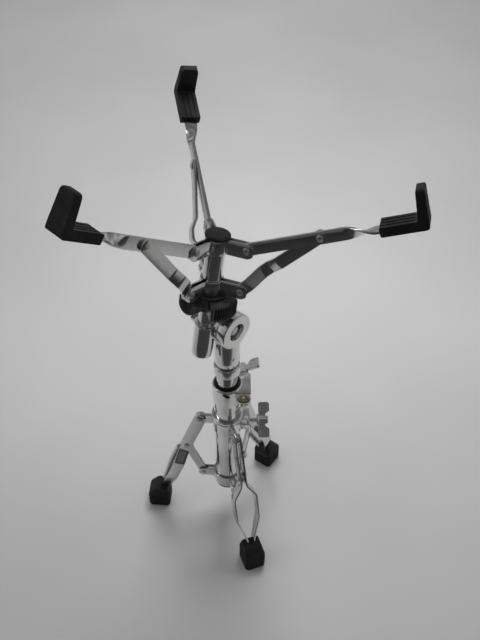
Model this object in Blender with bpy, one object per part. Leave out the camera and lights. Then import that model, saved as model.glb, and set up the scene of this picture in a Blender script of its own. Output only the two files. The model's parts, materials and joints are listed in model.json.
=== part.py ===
"""Snare drum stand: a folding tripod, a telescoping mast, a tilter and a three-armed basket.

Units are metres and +Z is up. The floor is at Z = 0 and the frame's origin lies in it, under the middle
of the bounding box. Lengths that belong to one link are measured from the pivot that it turns on.
"""

import math

import bmesh
import bpy
from mathutils import Matrix, Vector

# Where the mast's centre line stands in the frame.
COLUMN_X = -0.02305
COLUMN_Y = -0.0382

GAP = 0.0003
ROUND = 28

# Base tube and its end plug.
BASE_TUBE_R = 0.0143
BASE_TUBE_BORE_R = 0.0128
BASE_TUBE_BOTTOM = 0.054
BASE_TUBE_TOP = 0.1783
PLUG_HEIGHT = 0.003
PLUG_DEPTH = 0.008

# Tripod: one leg in three, seen in its own upright plane. U is the leg's pivot on the sliding collar,
# L the stay's pivot on the fixed collar, and M, on the leg, is where the stay meets it.
LEG_AZIMUTHS = {"front": -70.7, "back": 52.8, "left": 174.6}
U_RADIUS = 0.030
U_HEIGHT = 0.164
L_RADIUS = 0.0285
L_HEIGHT = 0.066
LEG_ANGLE = math.radians(19.46)
M_ALONG = 0.0511
LEG_END = 0.151
BAR_WIDTH = 0.0125
BAR_THICKNESS = 0.002
BAR_OFFSET = 0.003
BOW_OFFSET = 0.0130
LUG_THICKNESS = 0.0034
STAY_WIDTH = 0.010
STAY_THICKNESS = 0.0030
STAY_EYE_R = 0.0060
RIVET_R = 0.0017
RIVET_HOLE_R = 0.0020
RIVET_HEAD_R = 0.0036
OPEN_HOLE_R = 0.0039

# Rubber feet.
FOOT_CENTRE = 0.084
FOOT_LENGTH = 0.026
FOOT_WIDTH = 0.0245
FOOT_CORNER = 0.0042
FOOT_HEIGHT = 0.0315

# Collars.
COLLAR_BORE_R = 0.0146
LOWER_COLLAR_R = 0.0164
LOWER_COLLAR_Z = (0.0585, 0.0730)
FORK_REACH = 0.0345
FORK_HALF_HEIGHT = 0.0058
LEG_COLLAR_R = 0.0168
LEG_COLLAR_Z = (0.1537, 0.1775)
LUG_REACH = 0.0355
LUG_HALF_HEIGHT = 0.0068
BOSS_X = (0.008, 0.0246)
BOSS_Y = (-0.014, 0.010)
BOSS_Z = (0.1585, 0.1730)
LEG_SCREW_Y = -0.002
LEG_SCREW_Z = 0.1655

# Height clamp at the top of the base tube.
CLAMP_R = 0.0160
CLAMP_TOP = 0.2274
CLAMP_BORE_R = 0.0134
MOUTH_R = 0.0143
CLAMP_BLOCK = ((0.003, 0.025), (-0.015, 0.0135), (0.208, 0.2262))
CROSS_BORE_X = 0.0172
CROSS_BORE_Z = 0.2165
CROSS_BORE_R = 0.0069
JAW_R = 0.0065

# Mast.
MAST_R = 0.0111
MAST_BORE_R = 0.0096
MAST_Z = (0.084, 0.2577)
MEMORY_RING_R = 0.0140
MEMORY_RING_Z = (0.2451, 0.2573)

# Tilter: its bolt is level, at this azimuth, and the basket leans on it towards azimuth + 90 degrees.
BOLT_AZIMUTH = math.radians(-44.0)
BASKET_LEAN = math.radians(10.7)
BOLT_HEIGHT = 0.3118
NECK_R = 0.0136
HEAD_R = 0.01925
HEAD_B = (0.004, 0.0137)
RECESS_R = 0.0091
RECESS_FLOOR = 0.0066
TILT_DISC_R = 0.0186
TILT_DISC_B = (-0.003, 0.0036)
TILT_BOSS_R = 0.0120
TILT_BOSS_END = -0.0200
BOLT_R = 0.0037
BOLT_HOLE_R = 0.0041
SLEEVE_BACK = 0.0121
SLEEVE_SIDE = 0.01805

# Basket: heights are measured up its own axis from the tilter's bolt.
SLEEVE_R = 0.0106
SLEEVE_SPAN = (-0.0295, 0.0100)
ROD_R = 0.0080
ROD_SPAN = (-0.0270, 0.1074)
BASKET_TUBE_R = 0.0095
BASKET_TUBE_SPAN = (0.0400, 0.1074)
CAP_R = 0.0121
CAP_TOP = 0.1112
ARM_AZIMUTHS = {"left": 224.7, "right": 344.7, "rear": 104.7}
PIVOT_RADIUS = 0.0282
ARM_PIVOT_HEIGHT = 0.1005
SLIDER_PIVOT_HEIGHT = 0.0550
BRACKET_HALF_HEIGHT = 0.0075
BRACKET_BORE_R = 0.0098
BRACKET_PLATE = 0.0017
EAR_END = 0.0350
TOP_BRACKET_DROP = 0.0008
ARM_RISE = math.radians(25.7)
ARM_WIDTH = 0.0125
ARM_THICKNESS = 0.0030
ARM_RIVET_ALONG = 0.0690
ARM_EYE_R = 0.0025
BRACE_EYE_R = 0.0046
TWIST_ALONG = (0.090, 0.120)
TONGUE_END = 0.142
TONGUE_THICKNESS = 0.0026
TONGUE_SIDE = -0.0032
BRACE_THICKNESS = 0.0025
BRACE_OFFSET = 0.00305
# (distance from the slider end, sideways offset) of the brace's bends.
BRACE_BENDS = ((0.011, 0.0), (0.026, 0.0096), (0.036, 0.0096), (0.047, 0.0047), (0.084, BRACE_OFFSET))
GRIP_START = 0.1232
GRIP_INNER = 0.1560
GRIP_END = 0.1648
GRIP_HALF_WIDTH = 0.0096
GRIP_LOW = -0.0032
GRIP_HIGH = 0.0060
GRIP_LEAN = 0.0015
GRIP_TOP = 0.0335

# The wing of the height bolt stands turned back from level.
HEIGHT_WING_TURN = math.radians(-28.0)

# Hand nut and its washer.
NUT_SPAN = (0.0285, 0.0449)
NUT_LOBE_R = 0.0285
NUT_NOTCH_R = 0.0130
NUT_POINTS = 96
NUT_LOBE_AZIMUTH = math.radians(70.0)
WASHER_SPAN = (0.0452, 0.0470)

X = Vector((1, 0, 0))
Y = Vector((0, 1, 0))
Z = Vector((0, 0, 1))


def clear_scene():
    for obj in list(bpy.data.objects):
        bpy.data.objects.remove(obj, do_unlink=True)


def material(name, colour, roughness, metallic):
    mat = bpy.data.materials.new(name)
    mat.use_nodes = True
    shader = mat.node_tree.nodes["Principled BSDF"]
    shader.inputs["Base Color"].default_value = (*colour, 1)
    shader.inputs["Roughness"].default_value = roughness
    shader.inputs["Metallic"].default_value = metallic
    return mat


def make_materials():
    return {
        "chrome": material("chrome", (0.78, 0.78, 0.77), 0.12, 1.0),
        "steel": material("steel", (0.60, 0.60, 0.58), 0.30, 1.0),
        "rubber": material("rubber", (0.02, 0.02, 0.022), 0.65, 0.0),
        "plastic": material("plastic", (0.015, 0.015, 0.016), 0.40, 0.0),
        "nylon": material("nylon", (0.03, 0.03, 0.03), 0.50, 0.0),
        "brass": material("brass", (0.70, 0.52, 0.25), 0.30, 1.0),
    }


def frame_at(name, parent, matrix):
    """An empty that carries a link: its origin is on the link's joint."""
    empty = bpy.data.objects.new(name, None)
    empty.empty_display_size = 0.01
    bpy.context.scene.collection.objects.link(empty)
    empty.parent = parent
    empty.matrix_basis = matrix
    return empty


def turn(axis, angle):
    return Matrix.Rotation(angle, 4, axis)


def put(name, shape, parent, mat=None):
    """Make an object of a (points, faces) shape. One without a material is a cutter or an added shape."""
    mesh = bpy.data.meshes.new(name)
    mesh.from_pydata([tuple(p) for p in shape[0]], [], shape[1])
    work = bmesh.new()
    work.from_mesh(mesh)
    bmesh.ops.connect_verts_nonplanar(work, angle_limit=0.0005, faces=work.faces)
    bmesh.ops.recalc_face_normals(work, faces=work.faces)
    work.to_mesh(mesh)
    work.free()
    obj = bpy.data.objects.new(name, mesh)
    bpy.context.scene.collection.objects.link(obj)
    obj.parent = parent
    if mat is None:
        obj.hide_render = True
        obj.display_type = "WIRE"
    else:
        mesh.materials.append(mat)
        mesh.shade_smooth()
        mesh.set_sharp_from_angle(angle=math.radians(35))
    return obj


def boolean(obj, operation, *others, solver="EXACT"):
    for other in others:
        step = obj.modifiers.new(operation.lower(), "BOOLEAN")
        step.operation = operation
        step.solver = solver
        step.object = other
    return obj


def cut(obj, *others, solver="EXACT"):
    return boolean(obj, "DIFFERENCE", *others, solver=solver)


def add(obj, *others):
    return boolean(obj, "UNION", *others)


def moved(shape, matrix):
    return [matrix @ Vector(p) for p in shape[0]], shape[1]


def together(*shapes):
    points, faces = [], []
    for more_points, more_faces in shapes:
        start = len(points)
        points += list(more_points)
        faces += [[start + i for i in face] for face in more_faces]
    return points, faces


def lathe(profile, ring=False, count=ROUND):
    """Turn (radius, height) points about Z: from axis to axis, or a closed loop where ring is true."""
    points, rows = [], []
    for radius, height in profile:
        if radius == 0:
            rows.append([len(points)] * count)
            points.append((0, 0, height))
            continue
        rows.append(list(range(len(points), len(points) + count)))
        for i in range(count):
            angle = 2 * math.pi * i / count
            points.append((radius * math.cos(angle), radius * math.sin(angle), height))
    pairs = list(zip(rows, rows[1:] + rows[:1])) if ring else list(zip(rows, rows[1:]))
    faces = []
    for low, high in pairs:
        for i in range(count):
            j = (i + 1) % count
            corners = [low[i], low[j], high[j], high[i]]
            face = [c for k, c in enumerate(corners) if c != corners[k - 1]]
            if len(face) > 2:
                faces.append(face)
    return points, faces


def pipe(inner, outer, low, high, count=ROUND):
    return lathe([(inner, low), (outer, low), (outer, high), (inner, high)], ring=True, count=count)


def rod(radius, low, high, count=ROUND):
    return lathe([(0, low), (radius, low), (radius, high), (0, high)], count=count)


def box(xs, ys, zs):
    points = [(x, y, z) for x in xs for y in ys for z in zs]
    faces = [(0, 1, 3, 2), (4, 6, 7, 5), (0, 4, 5, 1), (2, 3, 7, 6), (0, 2, 6, 4), (1, 5, 7, 3)]
    return points, faces


def prism(outline, low, high):
    """Raise a flat (x, y) outline from one height to another."""
    count = len(outline)
    points = [(x, y, low) for x, y in outline] + [(x, y, high) for x, y in outline]
    faces = [list(range(count - 1, -1, -1)), list(range(count, 2 * count))]
    for i in range(count):
        j = (i + 1) % count
        faces.append([i, j, count + j, count + i])
    return points, faces


def strip(stations):
    """A flat bar through stations, each a centre with half its width and half its thickness as vectors."""
    points, faces = [], []
    for centre, half_width, half_thick in stations:
        centre = Vector(centre)
        for side, face in ((-1, -1), (1, -1), (1, 1), (-1, 1)):
            points.append(centre + side * Vector(half_width) + face * Vector(half_thick))
    last = len(stations) - 1
    faces.append([0, 1, 2, 3])
    faces.append([4 * last + i for i in (3, 2, 1, 0)])
    for k in range(last):
        for i in range(4):
            j = (i + 1) % 4
            faces.append([4 * k + i, 4 * k + j, 4 * k + 4 + j, 4 * k + 4 + i])
    return points, faces


def round_end(radius, reach, steps=4):
    """(distance past the eye's centre, half width) pairs of a bar's rounded end, from the tip inwards."""
    pairs = []
    for i in range(steps):
        angle = math.radians(14 + 76 * i / steps)
        pairs.append((reach * math.cos(angle), radius * math.sin(angle)))
    return pairs


def flat_bar(along, across, thick, length, width, thickness, offset=0.0, eye=None):
    """A straight bar with two round ends, from one eye's centre to another's along a direction."""
    eye = eye or width / 2
    first = round_end(width / 2, width / 2)
    second = round_end(eye, eye)
    places = [(-reach, half) for reach, half in first] + [(0, width / 2)]
    if eye > width / 2:
        places.append((length - 1.6 * eye, width / 2))
        places.append((length - 0.6 * eye, eye))
    places += [(length, eye)] + [(length + reach, half) for reach, half in reversed(second)]
    stations = []
    for place, half in places:
        stations.append((along * place + thick * offset, across * half, thick * (thickness / 2)))
    return strip(stations)


def rivet(half_grip, head=RIVET_HEAD_R, stem=RIVET_R):
    """A domed rivet along Y, centred on its joint."""
    top = half_grip + 0.0013
    edge = half_grip + 0.0006
    profile = [(0, -top), (0.6 * head, -top), (head, -edge), (head, -half_grip), (stem, -half_grip)]
    profile += [(r, -h) for r, h in reversed(profile)]
    return moved(lathe(profile, count=12), turn("X", -math.pi / 2))


def pin_cutter(name, parent, *pins):
    """A cutter of pins along Y, each given as (radius, place)."""
    shapes = []
    for radius, place in pins:
        pin = moved(rod(radius, -0.012, 0.012, 16), turn("X", -math.pi / 2))
        shapes.append(moved(pin, Matrix.Translation(place)))
    return put(name, together(*shapes), parent)


def wing_shape(tab_reach, tab_low, tab_high, hub_r, hub_end):
    """A wing head: its hub rises along Z from zero, with a flat tab on each side."""
    profile = [(0, 0), (hub_r * 1.15, 0), (hub_r * 1.15, 0.0015), (hub_r, 0.0025)]
    profile += [(hub_r * 0.8, hub_end), (0, hub_end)]
    hub = lathe(profile, count=20)
    half = [
        (0.0, tab_low + 0.001),
        (0.5 * tab_reach, tab_low),
        (0.93 * tab_reach, tab_low + 0.001),
        (tab_reach, tab_low + 0.004),
        (tab_reach, tab_high - 0.003),
        (0.9 * tab_reach, tab_high),
        (0.6 * tab_reach, tab_high - 0.001),
        (0.32 * tab_reach, hub_end - 0.003),
        (0.0, hub_end - 0.004),
    ]
    outline = half + [(-x, z) for x, z in reversed(half[1:-1])]
    tabs = moved(prism(outline, -0.0016, 0.0016), turn("X", math.pi / 2))
    return hub, tabs


def build_base(mats, column):
    wall = pipe(BASE_TUBE_BORE_R, BASE_TUBE_R, BASE_TUBE_BOTTOM, BASE_TUBE_TOP)
    put("base_tube", wall, column, mats["chrome"])
    low = BASE_TUBE_BOTTOM - GAP
    spigot = BASE_TUBE_BORE_R - GAP
    plug = [
        (0, low - PLUG_HEIGHT),
        (BASE_TUBE_R - 0.001, low - PLUG_HEIGHT),
        (BASE_TUBE_R, low - PLUG_HEIGHT + 0.001),
        (BASE_TUBE_R, low),
        (spigot, low),
        (spigot, low + PLUG_DEPTH),
        (0, low + PLUG_DEPTH),
    ]
    put("tube_end_plug", lathe(plug), column, mats["plastic"])

    collar = put("lower_collar", pipe(COLLAR_BORE_R, LOWER_COLLAR_R, *LOWER_COLLAR_Z), column, mats["chrome"])
    plates, eyes = [], []
    for name, azimuth in LEG_AZIMUTHS.items():
        place = turn("Z", math.radians(azimuth)) @ Matrix.Translation((L_RADIUS, 0, L_HEIGHT))
        root = L_RADIUS - 0.0152
        for side in (-1, 1):
            stations = [(X * -root + Y * side * BAR_OFFSET, Z * FORK_HALF_HEIGHT, Y * (BAR_THICKNESS / 2))]
            reach = FORK_REACH - L_RADIUS
            for along, half in reversed(round_end(FORK_HALF_HEIGHT, reach)):
                stations.append((X * along + Y * side * BAR_OFFSET, Z * half, Y * (BAR_THICKNESS / 2)))
            plates.append(moved(strip(stations), place))
        foot = frame_at("stay_foot_" + name, column, place)
        eyes.append(pin_cutter("fork_eye_" + name, foot, (RIVET_HOLE_R, (0, 0, 0))))
        put("stay_rivet_" + name, rivet(BAR_OFFSET + BAR_THICKNESS / 2 + GAP), foot, mats["steel"])
    add(collar, put("fork_plates", together(*plates), column))
    cut(collar, *eyes)


def build_leg_collar(mats, column):
    slide = frame_at("leg_collar_slide", column, Matrix.Translation((0, 0, U_HEIGHT)))
    down = Matrix.Translation((0, 0, -U_HEIGHT))
    low, high = LEG_COLLAR_Z
    profile = [(0, low), (LEG_COLLAR_R - 0.001, low), (LEG_COLLAR_R, low + 0.001)]
    for ring in (high - 0.0057, high - 0.0017):
        profile += [(LEG_COLLAR_R, ring - 0.0012), (LEG_COLLAR_R + 0.0007, ring - 0.0006)]
        profile += [(LEG_COLLAR_R + 0.0007, ring + 0.0006), (LEG_COLLAR_R, ring + 0.0012)]
    profile += [(LEG_COLLAR_R - 0.0006, high), (0, high)]
    collar = put("leg_collar", moved(lathe(profile), down), slide, mats["chrome"])
    lugs, eyes = [], []
    for name, azimuth in LEG_AZIMUTHS.items():
        place = turn("Z", math.radians(azimuth)) @ Matrix.Translation((U_RADIUS, 0, 0))
        stations = [(X * (0.012 - U_RADIUS), Z * LUG_HALF_HEIGHT, Y * (LUG_THICKNESS / 2))]
        for along, half in reversed(round_end(LUG_HALF_HEIGHT, LUG_REACH - U_RADIUS)):
            stations.append((X * along, Z * half, Y * (LUG_THICKNESS / 2)))
        lugs.append(moved(strip(stations), place))
        lug = frame_at("lug_eye_at_" + name, slide, place)
        eyes.append(pin_cutter("lug_eye_" + name, lug, (RIVET_HOLE_R, (0, 0, 0))))
    add(collar, put("collar_lugs", together(*lugs), slide))
    add(collar, put("screw_boss", moved(box(BOSS_X, BOSS_Y, BOSS_Z), down), slide))
    pocket = box((0.0125, 0.0195), (-0.020, BOSS_Y[0] + 0.005), (BOSS_Z[0] - 0.001, BOSS_Z[0] + 0.0095))
    cut(collar, put("collar_bore", moved(rod(COLLAR_BORE_R, low - 0.01, high + 0.01), down), slide))
    cut(collar, put("boss_pocket", moved(pocket, down), slide))
    place = Matrix.Translation((0, LEG_SCREW_Y, LEG_SCREW_Z - U_HEIGHT)) @ turn("Y", math.pi / 2)
    screw = frame_at("leg_screw_axis", slide, place)
    cut(collar, put("screw_hole", rod(0.0033, 0.010, 0.030, 16), screw), *eyes)

    tilt = turn("Z", math.radians(-52))
    hub, tabs = wing_shape(0.0195, 0.002, 0.0145, 0.0060, 0.013)
    seat = Matrix.Translation((0, 0, 0.0320))
    wing = put("leg_wing_screw", moved(hub, seat), screw, mats["chrome"])
    shank = lathe([(0, 0.0152), (0.0024, 0.0152), (0.0030, 0.0160), (0.0030, 0.0330), (0, 0.0330)], count=16)
    add(wing, put("leg_wing_tabs", moved(tabs, tilt @ seat), screw), put("leg_screw_shank", shank, screw))
    return slide


def bar_path(side):
    """Stations down one leg bar, at (distance down the leg, sideways offset, half width)."""
    half = BAR_WIDTH / 2
    places = [(-along, BAR_OFFSET, width) for along, width in round_end(half, half)]
    places += [
        (0, BAR_OFFSET, half),
        (M_ALONG + 0.009, BAR_OFFSET, half),
        (M_ALONG + 0.0235, BOW_OFFSET - 0.0006, half),
        (M_ALONG + 0.027, BOW_OFFSET, half),
        (0.103, BOW_OFFSET, half),
        (0.110, BOW_OFFSET - 0.0012, half),
        (0.137, 0.0042, half * 0.9),
        (LEG_END, 0.0026, half * 0.72),
    ]
    stations = []
    for along, offset, width in places:
        stations.append((Z * -along + Y * side * offset, X * width, Y * (BAR_THICKNESS / 2)))
    return strip(stations)


def foot_shape():
    """A block with its upper edges cut away, standing on Z = 0 with its length along X."""
    long, wide = FOOT_LENGTH / 2, FOOT_WIDTH / 2
    levels = [(0, 1.0, 1.0, 0), (0.010, 1.0, 1.0, -0.0005), (0.022, 0.98, 0.98, -0.001)]
    levels.append((FOOT_HEIGHT, 0.56, 0.84, -0.0035))
    points, faces = [], []
    for height, fx, fy, shift in levels:
        chamfer = FOOT_CORNER
        a, b = long * fx, wide * fy
        ring = [(a, b - chamfer), (a - chamfer, b), (chamfer - a, b), (-a, b - chamfer)]
        ring += [(-a, chamfer - b), (chamfer - a, -b), (a - chamfer, -b), (a, chamfer - b)]
        points += [(x + shift, y, height) for x, y in ring]
    faces.append(list(range(7, -1, -1)))
    faces.append([8 * (len(levels) - 1) + i for i in range(8)])
    for k in range(len(levels) - 1):
        for i in range(8):
            j = (i + 1) % 8
            faces.append([8 * k + i, 8 * k + j, 8 * k + 8 + j, 8 * k + 8 + i])
    return points, faces


def build_legs(mats, column, slide):
    stay_length = math.hypot(
        U_RADIUS + M_ALONG * math.sin(LEG_ANGLE) - L_RADIUS,
        U_HEIGHT - M_ALONG * math.cos(LEG_ANGLE) - L_HEIGHT,
    )
    stay_angle = math.asin((U_RADIUS + M_ALONG * math.sin(LEG_ANGLE) - L_RADIUS) / stay_length)
    for name, azimuth in LEG_AZIMUTHS.items():
        spin = turn("Z", math.radians(azimuth))
        hinge = Matrix.Translation((U_RADIUS, 0, 0)) @ turn("Y", -LEG_ANGLE)
        leg = frame_at("leg_hinge_" + name, slide, spin @ hinge)
        holes = [(RIVET_HOLE_R, (0, 0, 0)), (RIVET_HOLE_R, (0, 0, -M_ALONG))]
        eyes = pin_cutter("leg_eyes_" + name, leg, *holes)
        for side, word in ((-1, "a"), (1, "b")):
            cut(put(f"leg_{name}_bar_{word}", bar_path(side), leg, mats["chrome"]), eyes)
        grip = BAR_OFFSET + BAR_THICKNESS / 2 + GAP
        put(f"leg_{name}_top_rivet", rivet(grip), leg, mats["steel"])
        mid = moved(rivet(grip), Matrix.Translation((0, 0, -M_ALONG)))
        put(f"leg_{name}_mid_rivet", mid, leg, mats["steel"])

        # The foot stands level, so it is placed in the column's frame and moved into the leg's.
        to_leg = (Matrix.Translation((0, 0, U_HEIGHT)) @ hinge).inverted()
        foot = moved(foot_shape(), to_leg @ Matrix.Translation((FOOT_CENTRE, 0, 0)))
        body = put("foot_" + name, foot, leg, mats["rubber"])
        half = BAR_WIDTH / 2
        pocket = box((-half - 0.0002, half + 0.0002), (-0.0062, 0.0062), (-LEG_END - 0.0006, -0.118))
        cut(body, put("foot_pocket_" + name, pocket, leg))

        base = Matrix.Translation((L_RADIUS, 0, L_HEIGHT)) @ turn("Y", stay_angle)
        stay = frame_at("stay_hinge_" + name, column, spin @ base)
        shape = flat_bar(Z, X, Y, stay_length, STAY_WIDTH, STAY_THICKNESS, eye=STAY_EYE_R)
        link = put("stay_" + name, shape, stay, mats["chrome"])
        holes = [(RIVET_HOLE_R, (0, 0, 0)), (OPEN_HOLE_R, (0, 0, stay_length))]
        cut(link, pin_cutter("stay_eyes_" + name, stay, *holes))


def build_height_clamp(mats, column):
    top = CLAMP_TOP
    spigot = BASE_TUBE_BORE_R - GAP
    seat = BASE_TUBE_TOP + GAP
    body = [
        (0, seat - 0.0105),
        (spigot, seat - 0.0105),
        (spigot, seat),
        (BASE_TUBE_R, seat),
        (BASE_TUBE_R, 0.188),
        (CLAMP_R, 0.203),
        (CLAMP_R, top - 0.0012),
        (CLAMP_R - 0.0008, top),
        (0, top),
    ]
    clamp = put("height_clamp", lathe(body), column, mats["chrome"])
    add(clamp, put("clamp_block", box(*CLAMP_BLOCK), column))
    bore = [
        (0, 0.150),
        (MAST_R + 0.0005, 0.150),
        (MAST_R + 0.0005, 0.2045),
        (CLAMP_BORE_R, 0.2045),
        (CLAMP_BORE_R, 0.2240),
        (MOUTH_R, 0.2240),
        (MOUTH_R, 0.2400),
        (0, 0.2400),
    ]
    place = Matrix.Translation((CROSS_BORE_X, 0, CROSS_BORE_Z)) @ turn("X", -math.pi / 2)
    cross = frame_at("height_bolt_axis", column, place)
    cross_bore = put("cross_bore", rod(CROSS_BORE_R, -0.02, 0.02, 24), cross)
    cut(clamp, put("clamp_bore", lathe(bore), column), cross_bore)

    bushing = [
        (MAST_R + GAP, 0.2050),
        (CLAMP_BORE_R - GAP, 0.2050),
        (CLAMP_BORE_R - GAP, 0.2243),
        (MOUTH_R - GAP, 0.2243),
        (MOUTH_R - GAP, top - 0.0010),
        (MAST_R + GAP, top - 0.0010),
    ]
    put("mast_bushing", lathe(bushing, ring=True), column, mats["nylon"])

    clear = put("jaw_relief", rod(CLAMP_BORE_R + GAP, 0.19, 0.24), column)
    hole = put("jaw_hole", rod(0.0033, -0.02, 0.02, 16), cross)
    for word, low, high in (("front", -0.0136, -0.0020), ("rear", 0.0020, 0.0130)):
        jaw = put("clamp_jaw_" + word, rod(JAW_R, low, high, 24), cross, mats["brass"])
        cut(jaw, clear, hole)

    hub, tabs = wing_shape(0.0200, 0.005, 0.0185, 0.0062, 0.0160)
    seat = Matrix.Translation((0, 0, 0.0180)) @ turn("Z", HEIGHT_WING_TURN)
    wing = put("height_wing_bolt", moved(hub, seat), cross, mats["chrome"])
    profile = [(0, -0.0130), (0.0024, -0.0130), (0.0030, -0.0120), (0.0030, 0.0190), (0, 0.0190)]
    shank = lathe(profile, count=16)
    add(wing, put("height_wing_tabs", moved(tabs, seat), cross), put("height_bolt_shank", shank, cross))


def build_mast(mats, column):
    mast = frame_at("mast_slide", column, Matrix.Identity(4))
    put("mast_tube", pipe(MAST_BORE_R, MAST_R, *MAST_Z), mast, mats["chrome"])
    low, high = MEMORY_RING_Z
    bore = MAST_R + GAP
    ring = [
        (bore, low),
        (MEMORY_RING_R - 0.0005, low),
        (MEMORY_RING_R, low + 0.0005),
        (MEMORY_RING_R, high - 0.0005),
        (MEMORY_RING_R - 0.0005, high),
        (bore, high),
    ]
    put("memory_ring", lathe(ring, ring=True), mast, mats["chrome"])

    foot = MAST_Z[1] + GAP
    neck = [
        (0, foot - 0.016),
        (MAST_BORE_R - GAP, foot - 0.016),
        (MAST_BORE_R - GAP, foot),
        (MAST_R + 0.0001, foot),
        (0.0124, foot + 0.003),
        (NECK_R, foot + 0.009),
        (NECK_R, 0.2790),
        (0.0116, 0.2840),
        (0.0116, 0.2900),
        (0, 0.2900),
    ]
    body = put("tilter_head", lathe(neck), mast, mats["chrome"])
    bolt_place = Matrix.Translation((0, 0, BOLT_HEIGHT)) @ turn("Z", BOLT_AZIMUTH) @ turn("Y", math.pi / 2)
    bolt = frame_at("tilt_bolt_axis", mast, bolt_place)
    back, front = HEAD_B
    edge = math.acos(back / NECK_R)
    angles = [edge * (1 - k / 6) for k in range(13)]
    outline = [(NECK_R * math.cos(angle), NECK_R * math.sin(angle)) for angle in angles]
    half_neck = moved(prism(outline, 0.2780, BOLT_HEIGHT), turn("Z", BOLT_AZIMUTH))
    head = [
        (0, back),
        (HEAD_R - 0.0006, back),
        (HEAD_R, back + 0.0006),
        (HEAD_R, front - 0.0012),
        (HEAD_R - 0.0012, front),
        (0, front),
    ]
    add(body, put("head_neck", half_neck, mast), put("head_disc", lathe(head, count=36), bolt))
    cut(body, put("head_recess", rod(RECESS_R, RECESS_FLOOR, 0.03, 24), bolt))
    cut(body, put("head_bolt_hole", rod(BOLT_HOLE_R, -0.03, 0.02, 16), bolt))

    low = RECESS_FLOOR + GAP
    head_end = low + 0.0045
    screw = [
        (0, -0.0310),
        (BOLT_R - 0.0006, -0.0310),
        (BOLT_R, -0.0304),
        (BOLT_R, low),
        (0.0064, low),
        (0.0064, head_end - 0.0015),
        (0.0045, head_end),
        (0, head_end),
    ]
    put("tilter_bolt", lathe(screw, count=20), bolt, mats["steel"])
    hub, tabs = wing_shape(0.0175, 0.003, 0.0145, 0.0066, 0.0120)
    outward = Matrix.Translation((0, 0, TILT_BOSS_END - GAP)) @ turn("X", math.pi) @ turn("Z", math.pi / 2)
    nut = put("tilter_wing_nut", moved(hub, outward), bolt, mats["chrome"])
    add(nut, put("tilter_nut_tabs", moved(tabs, outward), bolt))
    cut(nut, put("tilter_nut_thread", rod(BOLT_R + GAP, -0.045, -0.01, 20), bolt))
    return mast, bolt


def ribbon(path, thickness):
    """A bent plate standing on edge, through (x, y, low, high) places, mitred at each bend."""
    spots = [Vector(place[:2]) for place in path]
    runs = [(b - a).normalized() for a, b in zip(spots, spots[1:])]
    stations = []
    for i, place in enumerate(path):
        before, after = runs[max(i - 1, 0)], runs[min(i, len(runs) - 1)]
        bend = (before + after).normalized()
        reach = thickness / 2 / bend.dot(before)
        middle = Vector((place[0], place[1], (place[2] + place[3]) / 2))
        stations.append((middle, Z * ((place[3] - place[2]) / 2), Vector((-bend.y, bend.x, 0)) * reach))
    return strip(stations)


def bracket_plate(start, end, middle):
    """One of a bracket's three bent plates: out along an arm, round the tube, and out along the next."""
    wall = BRACKET_BORE_R + BRACKET_PLATE / 2
    side = ARM_THICKNESS / 2 + GAP + BRACKET_PLATE / 2
    lead = math.asin(side / wall)
    half = BRACKET_HALF_HEIGHT
    ear = ((EAR_END, 0.50 * half), (EAR_END - 0.0016, 0.82 * half), (EAR_END - 0.0040, half))
    path = []
    for reach, height in ear:
        path.append((*place_2d(start, reach, side), middle - height, middle + height))
    for k in range(9):
        angle = start + lead + (end - start - 2 * lead) * k / 8
        path.append((*place_2d(angle, wall, 0), middle - half, middle + half))
    for reach, height in reversed(ear):
        path.append((*place_2d(end, reach, -side), middle - height, middle + height))
    return ribbon(path, BRACKET_PLATE)


def place_2d(azimuth, out, across):
    """The x and y of a place a distance out along an azimuth and across it."""
    x = out * math.cos(azimuth) - across * math.sin(azimuth)
    y = out * math.sin(azimuth) + across * math.cos(azimuth)
    return x, y


def build_bracket(name, mats, parent, height, drop=0.0):
    """Three plates held together by three rivets, which the arms or braces turn on."""
    angles = [math.radians(a) for a in ARM_AZIMUTHS.values()]
    first, *others = [bracket_plate(a, a + 2 * math.pi / 3, height - drop) for a in angles]
    body = put(name, first, parent, mats["chrome"])
    for i, plate in enumerate(others):
        add(body, put(f"{name}_plate_{i}", plate, parent))
    grip = ARM_THICKNESS / 2 + GAP + BRACKET_PLATE - 0.0002
    for word, angle in zip(ARM_AZIMUTHS, angles):
        place = turn("Z", angle) @ Matrix.Translation((PIVOT_RADIUS, 0, height))
        add(body, put(f"{name}_rivet_{word}", moved(rivet(grip, stem=0.0022), place), parent))
    return body


def nut_outline():
    """Three broad lobes with hollows between them."""
    outline = []
    for i in range(NUT_POINTS):
        angle = 2 * math.pi * i / NUT_POINTS
        lobe = math.cos(3 * (angle - NUT_LOBE_AZIMUTH))
        blend = 0.5 + 0.5 * math.tanh(5 * (lobe + 0.5))
        radius = NUT_NOTCH_R + (NUT_LOBE_R - NUT_NOTCH_R) * blend
        outline.append((radius * math.cos(angle), radius * math.sin(angle)))
    return outline


def grip_shape():
    """The rubber L: its lying part runs along X and its upright stands at the far end."""
    low, high = GRIP_LOW, GRIP_HIGH
    side = [
        (GRIP_START, low + 0.001),
        (GRIP_START + 0.001, low),
        (GRIP_END - 0.003, low),
        (GRIP_END, low + 0.003),
        (GRIP_END + GRIP_LEAN, GRIP_TOP - 0.003),
        (GRIP_END + GRIP_LEAN - 0.0026, GRIP_TOP),
        (GRIP_INNER + GRIP_LEAN + 0.0022, GRIP_TOP),
        (GRIP_INNER + GRIP_LEAN, GRIP_TOP - 0.002),
        (GRIP_INNER, high + 0.002),
        (GRIP_INNER - 0.002, high),
        (GRIP_START + 0.001, high),
        (GRIP_START, high - 0.001),
    ]
    block = prism(side, TONGUE_SIDE - GRIP_HALF_WIDTH, TONGUE_SIDE + GRIP_HALF_WIDTH)
    return moved(block, turn("X", math.pi / 2))


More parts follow.
